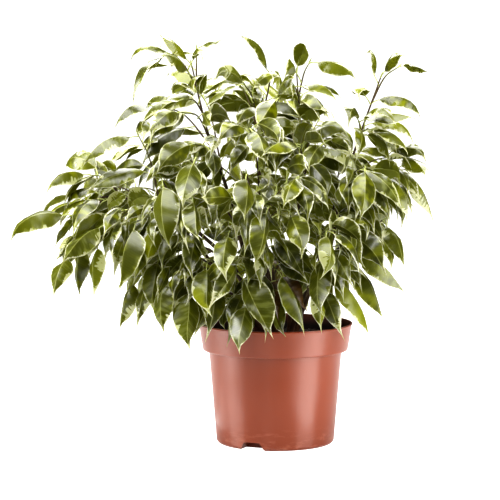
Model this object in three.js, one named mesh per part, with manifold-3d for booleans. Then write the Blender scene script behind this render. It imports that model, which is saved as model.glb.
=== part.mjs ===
// A variegated weeping fig in a plain plastic nursery pot, with +Z up and sizes in millimetres.
// The origin is the middle of the pot's flat underside, on the surface that it stands on,
// and -Y is the front. The pot holds a plug of soil, and nine rooted leafy stems stand in it.
import * as THREE from "three";
import { mergeVertices } from "three/addons/utils/BufferGeometryUtils.js";
import Module from "manifold-3d";

const wasm = await Module();
wasm.setup();

const pot = {
  height: 110,
  rimRadius: 70,
  collarDepth: 24.5, // the wider band below the rim
  collarFootRadius: 66.5,
  shoulderRadius: 60.8, // the body just under the collar
  footRadius: 53.8,
  wall: 1.4,
  floor: 1.8,
  sides: 32, // of the pot and its soil
};
const notch = {
  height: 7.3, // how far each drainage step rises from the surface
  footWidth: 25,
  topWidth: 15,
  innerRadius: 38, // where the step ends, towards the middle of the base
  azimuths: [-24, 156], // degrees from the front, seen from above, positive to the right
  holeRadius: 3.5,
};
const drain = { count: 4, circleRadius: 26, holeRadius: 3.5, sides: 8 };
const soil = { belowRim: 13, seatGap: 0.4 };
const cane = { holeDepth: 32, rootRadius: 3.1, tipRadius: 1.0, sides: 6, rings: 9, fitGap: 0.4 };
const twig = {
  rootRadius: 1.4,
  tipRadius: 1.1,
  budLength: 7,
  sides: 3,
  rings: 4,
  archShare: 0.17, // how far a twig's middle arches over the straight line, as a share of its length
  forkAngle: 45, // degrees between a twig and its stem
  lowest: 0.3, // the shares of a stem's length where twigs fork off
  highest: 0.93,
};
const leaf = {
  shortest: 38,
  longest: 60,
  halfWidthShare: [0.195, 0.235],
  ribHeight: 0.6, // how far the rib stands over the blade's middle line
  underside: 0.35, // how far the flat underside lies below it
  petiole: [7, 12],
  lastPetiole: 8, // of a shoot's named last leaf
  archShare: 0.12, // how far such a leaf arches, as a share of its length
  petioleRadii: [0.36, 0.5], // where it leaves the twig, and at the blade
  clearance: 0.5,
  internode: 22.5,
};
const soilLevel = pot.height - soil.belowRim;
const heart = new THREE.Vector3(-42, 20, 0); // the middle of the crown, which leaves face away from
const crown = { low: 130, high: 350 }; // its lowest twigs hang the most, and its highest the least
const up = new THREE.Vector3(0, 0, 1);
const front = new THREE.Vector3(0, -1, 0); // the plant has grown towards the light on this side

// Each stem: its way from the soil to its tip, then its side twigs.
// Where a leaf is named, the shoot's last leaf runs to that place. Others hang by the rule below.
const stems = {
  stem_left: {
    way: [[-17, 1], [-38, -2, 160], [-92, -5, 208], [-150, -10, 226], [-184, -14, 209]],
    leaf: [-243, -19, 189],
    twigs: [
      { tip: [-169, 14, 244], leaf: [-208, -17, 230] },
      { tip: [-124, -2, 280], leaf: [-174, -26, 253] },
      { tip: [-151, -46, 203], leaf: [-189, -74, 169] },
      { tip: [-184, -25, 174], leaf: [-197, -60, 139] },
      { tip: [-160, -32, 188], leaf: [-158, -52, 136] },
      { tip: [-124, -58, 207], leaf: [-134, -79, 145] },
      { tip: [-185, 60, 216], leaf: [-214, 21, 197] },
      { tip: [-150, 75, 224], leaf: [-177, 37, 199] },
      { tip: [-122, 44, 168], leaf: [-136, 14, 129] },
    ],
  },
  stem_upper_left: {
    way: [[-13, 15], [-40, 16, 216], [-62, 8, 284], [-76, 3, 344]],
    leaf: [-107, -18, 367],
    twigs: [
      { tip: [-76, -6, 334], leaf: [-104, -36, 354] },
      { tip: [-98, -16, 354], leaf: [-125, -50, 312] },
      { tip: [-72, 14, 358], leaf: [-49, -1, 363] },
      { tip: [-80, -12, 314], leaf: [-120, -32, 288] },
      { tip: [-82, -50, 303], leaf: [-113, -85, 286] },
      { tip: [-70, -57, 275], leaf: [-106, -94, 255] },
      { tip: [-112, 40, 306], leaf: [-146, 2, 288] },
      { tip: [-121, 90, 268], leaf: [-155, 52, 247] },
      { tip: [-72, 84, 320], leaf: [-96, 46, 298] },
    ],
  },
  stem_top: {
    way: [[1, 18], [-12, 24, 200], [-14, 28, 276], [-4, 24, 334]],
    leaf: [-36, -1, 369],
    twigs: [
      { tip: [3, -34, 315], leaf: [-17, -73, 287] },
      { tip: [-24, -76, 290], leaf: [-9, -116, 258] },
      { tip: [-28, -16, 327], leaf: [-64, -47, 304] },
      { tip: [-42, 72, 332], leaf: [-70, 32, 315] },
      { tip: [-10, 114, 316], leaf: [-23, 74, 284] },
    ],
  },
  stem_top_right: {
    way: [[13, 8], [20, -2, 195], [23, -8, 268], [19, -3, 337]],
    leaf: [25, -34, 365],
    twigs: [
      { tip: [30, -3, 346], leaf: [73, -26, 334] },
      { tip: [17, -9, 325], leaf: [55, -35, 309] },
      { tip: [20, -25, 319], leaf: [43, -61, 301] },
      { tip: [22, -80, 275], leaf: [-15, -118, 260] },
      { tip: [40, 52, 292], leaf: [69, 14, 268] },
      { tip: [43, -60, 276], leaf: [20, -101, 250] },
      { tip: [9, 78, 311], leaf: [24, 40, 279] },
    ],
  },
  stem_right: {
    way: [[19, -3], [46, -6, 180], [70, -4, 262], [95, 0, 333]],
    leaf: [116, -26, 354],
    twigs: [
      { tip: [110, 2, 342], leaf: [135, -22, 337] },
      { tip: [75, -12, 293], leaf: [126, -36, 296] },
      { tip: [81, -23, 287], leaf: [119, -57, 265] },
      { tip: [112, 5, 261], leaf: [136, -35, 245] },
      { tip: [119, 14, 249], leaf: [143, -6, 202] },
      { tip: [99, -27, 247], leaf: [117, -57, 206] },
      { tip: [78, -65, 257], leaf: [75, -96, 210] },
      { tip: [70, 89, 264], leaf: [96, 55, 234] },
      { tip: [101, 78, 241], leaf: [127, 44, 208] },
    ],
  },
  stem_lower_right: {
    way: [[14, -14], [33, -26, 150], [58, -30, 182], [97, -8, 204]],
    leaf: [114, -36, 162],
    twigs: [
      { tip: [69, -25, 183], leaf: [116, -33, 137] },
      { tip: [67, -19, 170], leaf: [95, -29, 113] },
      { tip: [59, -68, 212], leaf: [65, -97, 171] },
      { tip: [43, -92, 202], leaf: [42, -123, 161] },
      { tip: [41, -80, 181], leaf: [35, -106, 127] },
      { tip: [47, -49, 160], leaf: [84, -57, 102] },
      { tip: [36, -59, 154], leaf: [38, -83, 111] },
      { tip: [78, 48, 199], leaf: [105, 18, 164] },
    ],
  },
  stem_front: {
    way: [[-1, -19], [-7, -46, 150], [-14, -78, 200], [-26, -107, 252]],
    leaf: [-31, -141, 212],
    twigs: [
      { tip: [-34, -113, 229], leaf: [-67, -149, 232] },
      { tip: [19, -95, 249], leaf: [6, -136, 225] },
      { tip: [-7, -108, 224], leaf: [-20, -140, 172] },
      { tip: [9, -107, 221], leaf: [25, -140, 183] },
      { tip: [-34, -87, 164], leaf: [-1, -108, 110] },
      { tip: [-25, -77, 140], leaf: [-35, -98, 94] },
      { tip: [0, -84, 167], leaf: [25, -103, 111] },
      { tip: [-41, -99, 202], leaf: [-47, -134, 161] },
      { tip: [-41, -43, 136], leaf: [-49, -68, 111] },
    ],
  },
  stem_front_left: {
    way: [[-14, -12], [-44, -32, 146], [-74, -56, 196], [-100, -85, 246]],
    leaf: [-92, -108, 185],
    twigs: [
      { tip: [-70, -82, 265], leaf: [-82, -115, 222] },
      { tip: [-73, -93, 231], leaf: [-70, -127, 194] },
      { tip: [-101, -43, 201], leaf: [-115, -76, 170] },
      { tip: [-103, -50, 177], leaf: [-113, -63, 126] },
      { tip: [-125, -31, 155], leaf: [-139, -50, 108] },
      { tip: [-95, -59, 162], leaf: [-100, -79, 108] },
      { tip: [-76, -68, 152], leaf: [-81, -83, 88] },
      { tip: [-61, -77, 172], leaf: [-62, -110, 127] },
    ],
  },
  stem_back: {
    way: [[5, 31], [-6, 54, 168], [-22, 84, 216], [-42, 112, 268]],
    twigs: [
      { tip: [-92, 116, 250] },
      { tip: [18, 124, 258] },
      { tip: [56, 112, 220] },
      { tip: [-116, 104, 208] },
      { tip: [-32, 146, 196] },
      { tip: [-74, 106, 154] },
      { tip: [26, 118, 160] },
      { tip: [70, 86, 176] },
    ],
  },
};

// A repeatable number from 0 to 1 for each pair of whole numbers, so each leaf keeps its own shape.
function chance(a, b) {
  let h = Math.imul(a + 1, 0x9e3779b1) ^ Math.imul(b + 1, 0x85ebca6b);
  h = Math.imul(h ^ (h >>> 15), 0x2c1b3c6d);
  h = Math.imul(h ^ (h >>> 12), 0x297a2d39);
  return ((h ^ (h >>> 15)) >>> 0) / 4294967296;
}

function between(range, share) {
  return range[0] + (range[1] - range[0]) * share;
}

// A closed three.js geometry as a solid that can be joined and cut.
function solidOf(geometry) {
  const bare = geometry.clone();
  bare.deleteAttribute("normal");
  bare.deleteAttribute("uv");
  const merged = mergeVertices(bare, 1e-4);
  const corners = merged.index.array;
  const faces = [];
  for (let i = 0; i < corners.length; i += 3) {
    const [a, b, c] = [corners[i], corners[i + 1], corners[i + 2]];
    if (a !== b && b !== c && c !== a) faces.push(a, b, c);
  }
  const vertProperties = merged.attributes.position.array;
  return new wasm.Manifold(
    new wasm.Mesh({ numProp: 3, vertProperties, triVerts: new Uint32Array(faces) }),
  );
}

function geometryOf(solid) {
  const mesh = solid.getMesh();
  const geometry = new THREE.BufferGeometry();
  geometry.setAttribute("position", new THREE.BufferAttribute(mesh.vertProperties, 3));
  geometry.setIndex(new THREE.BufferAttribute(mesh.triVerts, 1));
  geometry.computeVertexNormals();
  return geometry;
}

// A closed skin over rings of points, each ring counterclockwise seen from the tip that it runs to.
function skinned(rings, tip) {
  const corners = rings[0].length;
  const places = [];
  for (const p of [...rings.flat(), tip]) places.push(p.x, p.y, p.z);
  const faces = [];
  for (let j = 2; j < corners; j++) faces.push(0, j, j - 1);
  for (let i = 0; i < rings.length; i++) {
    for (let j = 0; j < corners; j++) {
      const a = i * corners + j;
      const b = i * corners + ((j + 1) % corners);
      if (i === rings.length - 1) faces.push(a, b, rings.length * corners);
      else faces.push(a, b, b + corners, a, b + corners, a + corners);
    }
  }
  const geometry = new THREE.BufferGeometry();
  geometry.setAttribute("position", new THREE.Float32BufferAttribute(places, 3));
  geometry.setIndex(faces);
  return solidOf(geometry);
}

function revolved(profile, sides) {
  const points = profile.map(([r, z]) => new THREE.Vector2(r, z));
  return solidOf(new THREE.LatheGeometry(points, sides).rotateX(Math.PI / 2));
}

// An upright round bar through the pot's floor, which cuts a drain hole.
function drainCutter(x, y, radius) {
  const bar = new THREE.CylinderGeometry(radius, radius, 40, drain.sides).rotateX(Math.PI / 2);
  return solidOf(bar.translate(x, y, 0));
}

// The drainage step: a trapezoid that runs in from the pot's side, grown outwards by a margin.
function notchBlock(azimuth, margin, reach) {
  const outline = new THREE.Shape([
    new THREE.Vector2(-notch.footWidth / 2 - margin, -1),
    new THREE.Vector2(notch.footWidth / 2 + margin, -1),
    new THREE.Vector2(notch.topWidth / 2 + margin, notch.height + margin),
    new THREE.Vector2(-notch.topWidth / 2 - margin, notch.height + margin),
  ]);
  const depth = reach - notch.innerRadius + margin;
  const block = new THREE.ExtrudeGeometry(outline, { depth, bevelEnabled: false, steps: 1 });
  block.rotateX(Math.PI / 2).translate(0, -notch.innerRadius + margin, 0);
  return solidOf(block.rotateZ(THREE.MathUtils.degToRad(azimuth)));
}

function potOutside() {
  const p = pot;
  const step = p.height - p.collarDepth;
  return [
    [0, 0], [p.footRadius - 1.6, 0], [p.footRadius, 1.8], [p.shoulderRadius, step],
    [p.collarFootRadius - 0.5, step], [p.collarFootRadius, step + 1], [p.rimRadius, p.height],
  ];
}

function potSolid() {
  const p = pot;
  const step = p.height - p.collarDepth;
  const inside = [
    [p.rimRadius - p.wall, p.height], [p.collarFootRadius - p.wall, step + 2 * p.wall],
    [p.shoulderRadius - p.wall, step + p.wall], [p.footRadius - p.wall, p.floor], [0, p.floor],
  ];
  const envelope = revolved([...potOutside(), [0, p.height]], p.sides);
  let body = revolved([...potOutside(), ...inside], p.sides);
  for (const azimuth of notch.azimuths) {
    body = body.add(notchBlock(azimuth, p.wall, p.footRadius + 6).intersect(envelope));
    body = body.subtract(notchBlock(azimuth, 0, p.footRadius + 6));
    const turn = THREE.MathUtils.degToRad(azimuth);
    const r = notch.innerRadius + 7;
    body = body.subtract(drainCutter(r * Math.sin(turn), -r * Math.cos(turn), notch.holeRadius));
  }
  for (let i = 0; i < drain.count; i++) {
    const turn = ((i + 0.5) / drain.count) * 2 * Math.PI;
    const [x, y] = [Math.cos(turn) * drain.circleRadius, Math.sin(turn) * drain.circleRadius];
    body = body.subtract(drainCutter(x, y, drain.holeRadius));
  }
  return body;
}

// How far the soil's crumbly top stands over its level at a place.
function soilBump(x, y) {
  return 1.3 * Math.sin(0.21 * x + 1) * Math.cos(0.17 * y) + 0.8 * Math.sin(0.43 * x - 0.31 * y);
}

function soilSolid() {
  const p = pot;
  const step = p.height - p.collarDepth;
  const gap = soil.seatGap;
  const edge = p.collarFootRadius - p.wall - gap + 0.6;
  const profile = [
    [0, p.floor + gap], [p.footRadius - p.wall - gap, p.floor + gap],
    [p.shoulderRadius - p.wall - gap, step + p.wall + gap],
    [p.collarFootRadius - p.wall - gap, step + 2 * p.wall + gap], [edge, soilLevel - 1],
    [edge * 0.6, soilLevel], [0, soilLevel],
  ];
  const points = profile.map(([r, z]) => new THREE.Vector2(r, z));
  const plug = new THREE.LatheGeometry(points, p.sides).rotateX(Math.PI / 2);
  const place = plug.attributes.position;
  for (let i = 0; i < place.count; i++) {
    if (place.getZ(i) > soilLevel - 0.5) {
      place.setZ(i, place.getZ(i) + soilBump(place.getX(i), place.getY(i)));
    }
  }
  let body = solidOf(plug);
  for (const azimuth of notch.azimuths) {
    body = body.subtract(notchBlock(azimuth, p.wall + gap, p.footRadius + 6));
  }
  return body;
}

// Points across a line, carried along a curve without twist.
function ringsAlong(curve, shares, radii, sides) {
  const rings = [];
  let across = new THREE.Vector3(0.3, 1, 0);
  shares.forEach((share, i) => {
    const ahead = curve.getTangent(share);
    across = across.clone().addScaledVector(ahead, -across.dot(ahead)).normalize();
    const other = new THREE.Vector3().crossVectors(ahead, across);
    const centre = curve.getPoint(share);
    const ring = [];
    for (let j = 0; j < sides; j++) {
      const turn = (j / sides) * 2 * Math.PI;
      const point = centre.clone().addScaledVector(across, Math.cos(turn) * radii[i]);
      ring.push(point.addScaledVector(other, Math.sin(turn) * radii[i]));
    }
    rings.push(ring);
  });
  return rings;
}

// A stem or twig: its curve and its section, with the radius running from root to tip.
function shoot(points, section) {
  const curve = new THREE.CatmullRomCurve3(points, false, "catmullrom", 0.5);
  return { curve, section, length: curve.getLength() };
}

function shootSolid({ curve, section }, swell) {
  const { rootRadius, tipRadius, sides, rings } = section;
  const shares = Array.from({ length: rings }, (_, i) => i / (rings - 1));
  const radii = shares.map((t) => THREE.MathUtils.lerp(rootRadius, tipRadius, t) + swell);
  const end = curve.getPoint(1).addScaledVector(curve.getTangent(1), twig.budLength + swell);
  return skinned(ringsAlong(curve, shares, radii, sides), end);
}

// The point inside the faceted stem at a share of its length, where a leaf or twig is rooted.
function seatOn({ curve, section }, share) {
  const spans = section.rings - 1;
  const span = Math.min(Math.floor(share * spans), spans - 1);
  const from = curve.getPoint(span / spans);
  return from.lerp(curve.getPoint((span + 1) / spans), share * spans - span);
}

function caneShoot(way) {
  const [foot, ...rest] = way;
  const points = [
    new THREE.Vector3(foot[0], foot[1], soilLevel - cane.holeDepth),
    new THREE.Vector3(foot[0], foot[1], soilLevel + 6),
    ...rest.map(([x, y, z]) => new THREE.Vector3(x, y, z)),
  ];
  return shoot(points, cane);
}

// Small shifts to try in turn, where a named leaf's place is already taken.
function nudge(attempt) {
  const turn = attempt * 2.4;
  const reach = attempt * 2.2;
  return new THREE.Vector3(reach * Math.cos(turn), reach * Math.sin(turn), 1.5 * reach * Math.sin(3 * turn));
}

// The share of its parent's length where a twig best leaves for its tip: near it, and at a fork.
function forkShare(parent, end) {
  let [best, least] = [0, Infinity];
  for (let share = twig.lowest; share < twig.highest; share += 0.02) {
    const reach = end.clone().sub(parent.curve.getPoint(share));
    const angle = THREE.MathUtils.radToDeg(reach.angleTo(parent.curve.getTangent(share)));
    const cost = Math.abs(angle - twig.forkAngle) / 60 + reach.length() / 120;
    if (cost < least) [best, least] = [share, cost];
  }
  return best;
}

function twigShoot(parent, { tip, leaf: leafTip }) {
  const end = new THREE.Vector3(...tip);
  const root = seatOn(parent, forkShare(parent, end));
  const middle = root.clone().lerp(end, 0.5);
  middle.addScaledVector(up, root.distanceTo(end) * twig.archShare);
  const last = leafTip ? new THREE.Vector3(...leafTip) : null;
  return { ...shoot([root, middle, end], twig), last };
}

const swings = [0, 20, -20, 40, -40, 62, -62, 88, -88, 120]; // degrees round the twig

// Where one leaf grows, which way it hangs, and how large it is.
function leafPose(parent, share, side, id, attempt, terminal, youth) {
  const ahead = parent.curve.getTangent(share);
  const root = parent.curve.getPoint(share);
  const outward = new THREE.Vector3(root.x - heart.x, root.y - heart.y, 0).normalize();
  const over = up.clone().addScaledVector(outward, 0.4);
  over.addScaledVector(ahead, -over.dot(ahead)).normalize();
  const aside = new THREE.Vector3().crossVectors(ahead, over);
  const lift = between([-25, 45], chance(id, 1)) + swings[attempt];
  const around = THREE.MathUtils.degToRad(side > 0 ? lift : 180 - lift);
  const spread = THREE.MathUtils.degToRad(terminal ? 15 + 5 * attempt : between([42, 66], chance(id, 2)));
  const stalk = ahead.clone().multiplyScalar(Math.cos(spread));
  stalk.addScaledVector(aside, Math.cos(around) * Math.sin(spread));
  stalk.addScaledVector(over, Math.sin(around) * Math.sin(spread));
  const light = outward.clone().multiplyScalar(0.6).addScaledVector(up, 0.7);
  const lean = THREE.MathUtils.mapLinear(root.z, crown.low, crown.high, 0.75, 0.3);
  light.addScaledVector(front, lean).normalize();
  const roll = THREE.MathUtils.degToRad(between([-38, 38], chance(id, 7)));
  const shape = { seat: seatOn(parent, share), light, roll, fold: between([0.04, 0.15], chance(id, 9)) };
  const slimness = between(leaf.halfWidthShare, chance(id, 8));
  if (terminal && parent.last) {
    const end = parent.last.clone().add(nudge(attempt));
    const way = end.clone().sub(root).normalize().addScaledVector(up, 0.35).normalize();
    const start = root.clone().addScaledVector(way, leaf.lastPetiole);
    const reach = start.distanceTo(end);
    const arched = start.clone().lerp(end, 0.5).addScaledVector(up, reach * leaf.archShare);
    return { ...shape, base: start, bend: arched, tip: end, halfWidth: reach * slimness * 1.1 };
  }
  const base = root.clone().addScaledVector(stalk, between(leaf.petiole, chance(id, 3)));
  const weight = THREE.MathUtils.mapLinear(root.z, crown.low, crown.high, 1.8, 0.6);
  const sag = [chance(id, 4), chance(id, 5)];
  const start = stalk.clone().addScaledVector(up, -between([0.25, 0.8], sag[0]) * weight);
  start.addScaledVector(outward, 0.25).normalize();
  const end = start.clone().addScaledVector(up, -between([0.5, 1.7], sag[1]) * weight);
  end.addScaledVector(outward, 0.2).normalize();
  const length = between([leaf.shortest, leaf.longest], chance(id, 6)) * youth;
  const bend = base.clone().addScaledVector(start, length / 2);
  const tip = bend.clone().addScaledVector(end, length / 2);
  return { ...shape, base, bend, tip, halfWidth: length * slimness };
}

// Shares of the blade's length where it is measured, with its half width there.
const blade = [[0, 0.07], [0.24, 0.9], [0.54, 0.9], [0.8, 0.33]];

// The rings of a leaf: a slim petiole, then a roof-shaped blade whose rib runs out into a drip tip.
function leafRings(pose, swell) {
  const rib = new THREE.QuadraticBezierCurve3(pose.base, pose.bend, pose.tip);
  const rings = [];
  let face = pose.light;
  for (const [share, width] of [[-1, 0], ...blade]) {
    const start = share < 0;
    const ahead = start ? pose.base.clone().sub(pose.seat).normalize() : rib.getTangent(share);
    face = face.clone().addScaledVector(ahead, -face.dot(ahead)).normalize();
    const rolled = face.clone().applyAxisAngle(ahead, pose.roll);
    const aside = new THREE.Vector3().crossVectors(rolled, ahead);
    const centre = start ? pose.seat : rib.getPoint(share);
    const slim = leaf.petioleRadii[start ? 0 : 1];
    const reach = Math.max(slim, pose.halfWidth * width) + swell;
    const rise = (start ? slim : leaf.ribHeight) + swell;
    const drop = (start ? slim / 2 : leaf.underside + pose.fold * pose.halfWidth * width) + swell;
    rings.push([
      centre.clone().addScaledVector(aside, reach).addScaledVector(rolled, -drop),
      centre.clone().addScaledVector(rolled, rise),
      centre.clone().addScaledVector(aside, -reach).addScaledVector(rolled, -drop),
    ]);
  }
  return rings;
}

function leafSolids(pose) {
  const rings = leafRings(pose, 0);
  const wide = leafRings(pose, leaf.clearance);
  return {
    whole: skinned(rings, pose.tip),
    wide: skinned(wide, pose.tip),
    wideBlade: skinned(wide.slice(1), pose.tip),
  };
}

function boxesMeet(a, b) {
  return [0, 1, 2].every((k) => a.min[k] < b.max[k] && b.min[k] < a.max[k]);
}

// Every solid placed so far, with its node and its box, to test new ones against.
const placed = [];

function place(node, solid, kind) {
  placed.push({ node, solid, kind, box: solid.boundingBox() });
}

function isClear(solid, matters) {
  const box = solid.boundingBox();
  return placed.every((other) => {
    if (!matters(other) || !boxesMeet(box, other.box)) return true;
    const common = solid.intersect(other.solid);
    const clear = common.isEmpty();
    common.delete();
    return clear;
  });
}

const potBody = potSolid();
let soilBody = soilSolid();
place("pot", potBody, "pot");
place("soil", soilBody, "soil");

// The stems first, then their twigs, then leaves on all of them.
const shoots = [];
for (const [node, { way, leaf: leafTip }] of Object.entries(stems)) {
  const main = caneShoot(way);
  const last = leafTip ? new THREE.Vector3(...leafTip) : null;
  place(node, shootSolid(main, 0), "stem");
  shoots.push({ node, main: true, ...main, last });
}
for (const [node, { twigs }] of Object.entries(stems)) {
  const parent = shoots.find((s) => s.node === node && s.main);
  for (const plan of twigs) {
    const side = twigShoot(parent, plan);
    place(node, shootSolid(side, 0), "stem");
    shoots.push({ node, main: false, ...side });
  }
}

// Leaves stand by turns left and right of their shoot, with one at its end.
const sites = [];
shoots.forEach((s, shootIndex) => {
  const first = s.main ? 0.5 : 0.3;
  const count = Math.round((s.length * (1 - first)) / leaf.internode);
  for (let i = 0; i <= count; i++) {
    const terminal = i === count;
    const share = terminal ? 1 : first + ((1 - first) * i) / count;
    const youth = count - i < 2 ? 0.82 : 1;
    sites.push({ s, share, side: i % 2 ? 1 : -1, id: shootIndex * 40 + i, terminal, youth });
  }
});
// The leaves whose places are named come before the others.
sites.sort((a, b) => Number(b.terminal) - Number(a.terminal));
for (const { s, share, side, id, terminal, youth } of sites) {
  let grown = false;
  for (let attempt = 0; attempt < swings.length && !grown; attempt++) {
    const pose = leafPose(s, share, side, id, attempt, terminal, youth);
    const { whole, wide, wideBlade } = leafSolids(pose);
    grown =
      isClear(wideBlade, () => true) && isClear(wide, (other) => other.node !== s.node);
    wide.delete();
    wideBlade.delete();
    if (grown) place(s.node, whole, "leaf");
    else whole.delete();
  }
}

for (const node of Object.keys(stems)) {
  const main = shoots.find((s) => s.node === node && s.main);
  soilBody = soilBody.subtract(shootSolid(main, cane.fitGap));
}

const plastic = new THREE.MeshStandardMaterial({ color: 0xb65a3c, roughness: 0.5, metalness: 0 });
const earth = new THREE.MeshStandardMaterial({ color: 0x2a1d15, roughness: 1, metalness: 0 });
const foliage = new THREE.MeshStandardMaterial({ color: 0x6f8a35, roughness: 0.45, metalness: 0 });

function named(name, solid, material) {
  const mesh = new THREE.Mesh(geometryOf(solid), material);
  mesh.name = name;
  return mesh;
}

const plant = new THREE.Group();
plant.add(named("pot", potBody, plastic), named("soil", soilBody, earth));
for (const node of Object.keys(stems)) {
  const grown = placed.filter((other) => other.node === node).map((other) => other.solid);
  plant.add(named(node, wasm.Manifold.union(grown), foliage));
}
export default plant;
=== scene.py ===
# A variegated weeping fig in a plain plastic nursery pot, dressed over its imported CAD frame.
# Pieces are in metres, with +Z up. The rule that grows the plant works in millimetres, as it was drawn.
import math
from functools import partial

import bmesh
import bpy
import numpy as np
from mathutils import Matrix, Vector, kdtree, noise


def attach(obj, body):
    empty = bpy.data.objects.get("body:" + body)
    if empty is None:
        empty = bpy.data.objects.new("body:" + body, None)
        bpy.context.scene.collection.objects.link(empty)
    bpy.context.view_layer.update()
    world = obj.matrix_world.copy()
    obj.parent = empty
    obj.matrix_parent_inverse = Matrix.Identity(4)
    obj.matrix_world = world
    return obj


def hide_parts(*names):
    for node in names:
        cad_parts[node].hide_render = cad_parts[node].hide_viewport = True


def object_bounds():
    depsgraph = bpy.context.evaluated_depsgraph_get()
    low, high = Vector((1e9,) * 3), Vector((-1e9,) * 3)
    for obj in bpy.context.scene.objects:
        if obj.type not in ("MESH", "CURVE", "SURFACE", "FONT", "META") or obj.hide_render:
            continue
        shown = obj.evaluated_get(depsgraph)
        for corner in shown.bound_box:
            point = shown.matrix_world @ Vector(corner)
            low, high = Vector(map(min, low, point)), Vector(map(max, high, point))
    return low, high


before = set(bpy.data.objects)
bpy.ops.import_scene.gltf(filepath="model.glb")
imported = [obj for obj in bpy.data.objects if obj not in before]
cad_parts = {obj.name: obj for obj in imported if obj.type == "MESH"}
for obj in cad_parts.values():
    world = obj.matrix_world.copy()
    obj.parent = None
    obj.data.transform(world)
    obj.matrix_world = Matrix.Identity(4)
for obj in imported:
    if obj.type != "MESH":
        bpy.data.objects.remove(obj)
cadBox = [list(corner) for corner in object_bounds()]
mm = 0.001
scene = bpy.context.scene
print("frame loaded")


# An sRGB hex colour as linear RGBA.
def linear(code):
    channels = [int(code[i : i + 2], 16) / 255 for i in (1, 3, 5)]
    return (*(c / 12.92 if c <= 0.04045 else ((c + 0.055) / 1.055) ** 2.4 for c in channels), 1.0)


# Links or sets a node's inputs, found by name or by place. A value is a node, a socket, a list of
# them, a hex colour or a plain value. Values in a list go to the first inputs, in order.
def feed(node, values):
    sockets = [s for s in node.inputs if s.enabled]
    for key, value in values.items() if isinstance(values, dict) else enumerate(values):
        socket = sockets[key] if isinstance(key, int) else next(s for s in sockets if s.name == key)
        for source in value if isinstance(value, list) else [value]:
            if isinstance(source, bpy.types.Node):
                source = next(s for s in source.outputs if s.enabled)
            if isinstance(source, bpy.types.NodeSocket):
                node.id_data.links.new(source, socket)
            elif isinstance(source, str) and source.startswith("#"):
                socket.default_value = linear(source)
            else:
                socket.default_value = source


# Adds one node with its settings and its inputs.
def addNode(tree, kind, values=None, **settings):
    node = tree.nodes.new(kind)
    for name, value in settings.items():
        setattr(node, name, value)
    feed(node, values or {})
    return node


def newMaterial(name):  # with what adds nodes to it, and its shader
    material = bpy.data.materials.new(name)
    material.use_nodes = True
    tree = material.node_tree
    return material, partial(addNode, tree), tree.nodes["Principled BSDF"]


def newTree(name, sizes):  # a Geometry Nodes tree whose inputs are named sizes
    tree = bpy.data.node_groups.new(name, "GeometryNodeTree")
    for way in ("INPUT", "OUTPUT"):
        tree.interface.new_socket("Geometry", in_out=way, socket_type="NodeSocketGeometry")
    kinds = {int: "NodeSocketInt", float: "NodeSocketFloat"}
    for label, value in sizes.items():
        kind = kinds.get(type(value), "NodeSocketMaterial")
        tree.interface.new_socket(label, in_out="INPUT", socket_type=kind)
    return tree, partial(addNode, tree), addNode(tree, "NodeGroupInput").outputs


# Keeps what a modifier makes of a piece as its plain mesh.
def keepResult(piece, modifier):
    graph = bpy.context.evaluated_depsgraph_get()
    mesh = bpy.data.meshes.new_from_object(piece.evaluated_get(graph), depsgraph=graph)
    piece.modifiers.remove(modifier)
    piece.data = mesh
    mesh.name = piece.name


# Runs a tree with its sizes on a piece.
def applyTree(piece, tree, sizes):
    modifier = piece.modifiers.new(tree.name, "NODES")
    modifier.node_group = tree
    for socket in tree.interface.items_tree:
        if socket.in_out == "INPUT" and socket.name in sizes:
            modifier[socket.identifier] = sizes[socket.name]
    bpy.context.view_layer.update()
    keepResult(piece, modifier)


def newPiece(name, vertices, edges=(), faces=()):
    mesh = bpy.data.meshes.new(name)
    mesh.from_pydata([tuple(v) for v in vertices], list(edges), list(faces))
    piece = bpy.data.objects.new(name, mesh)
    scene.collection.objects.link(piece)
    return piece


# The rule that the plant grows by, in mm and degrees. It is the same as in the frame, so each leaf
# finds its place there.

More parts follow.
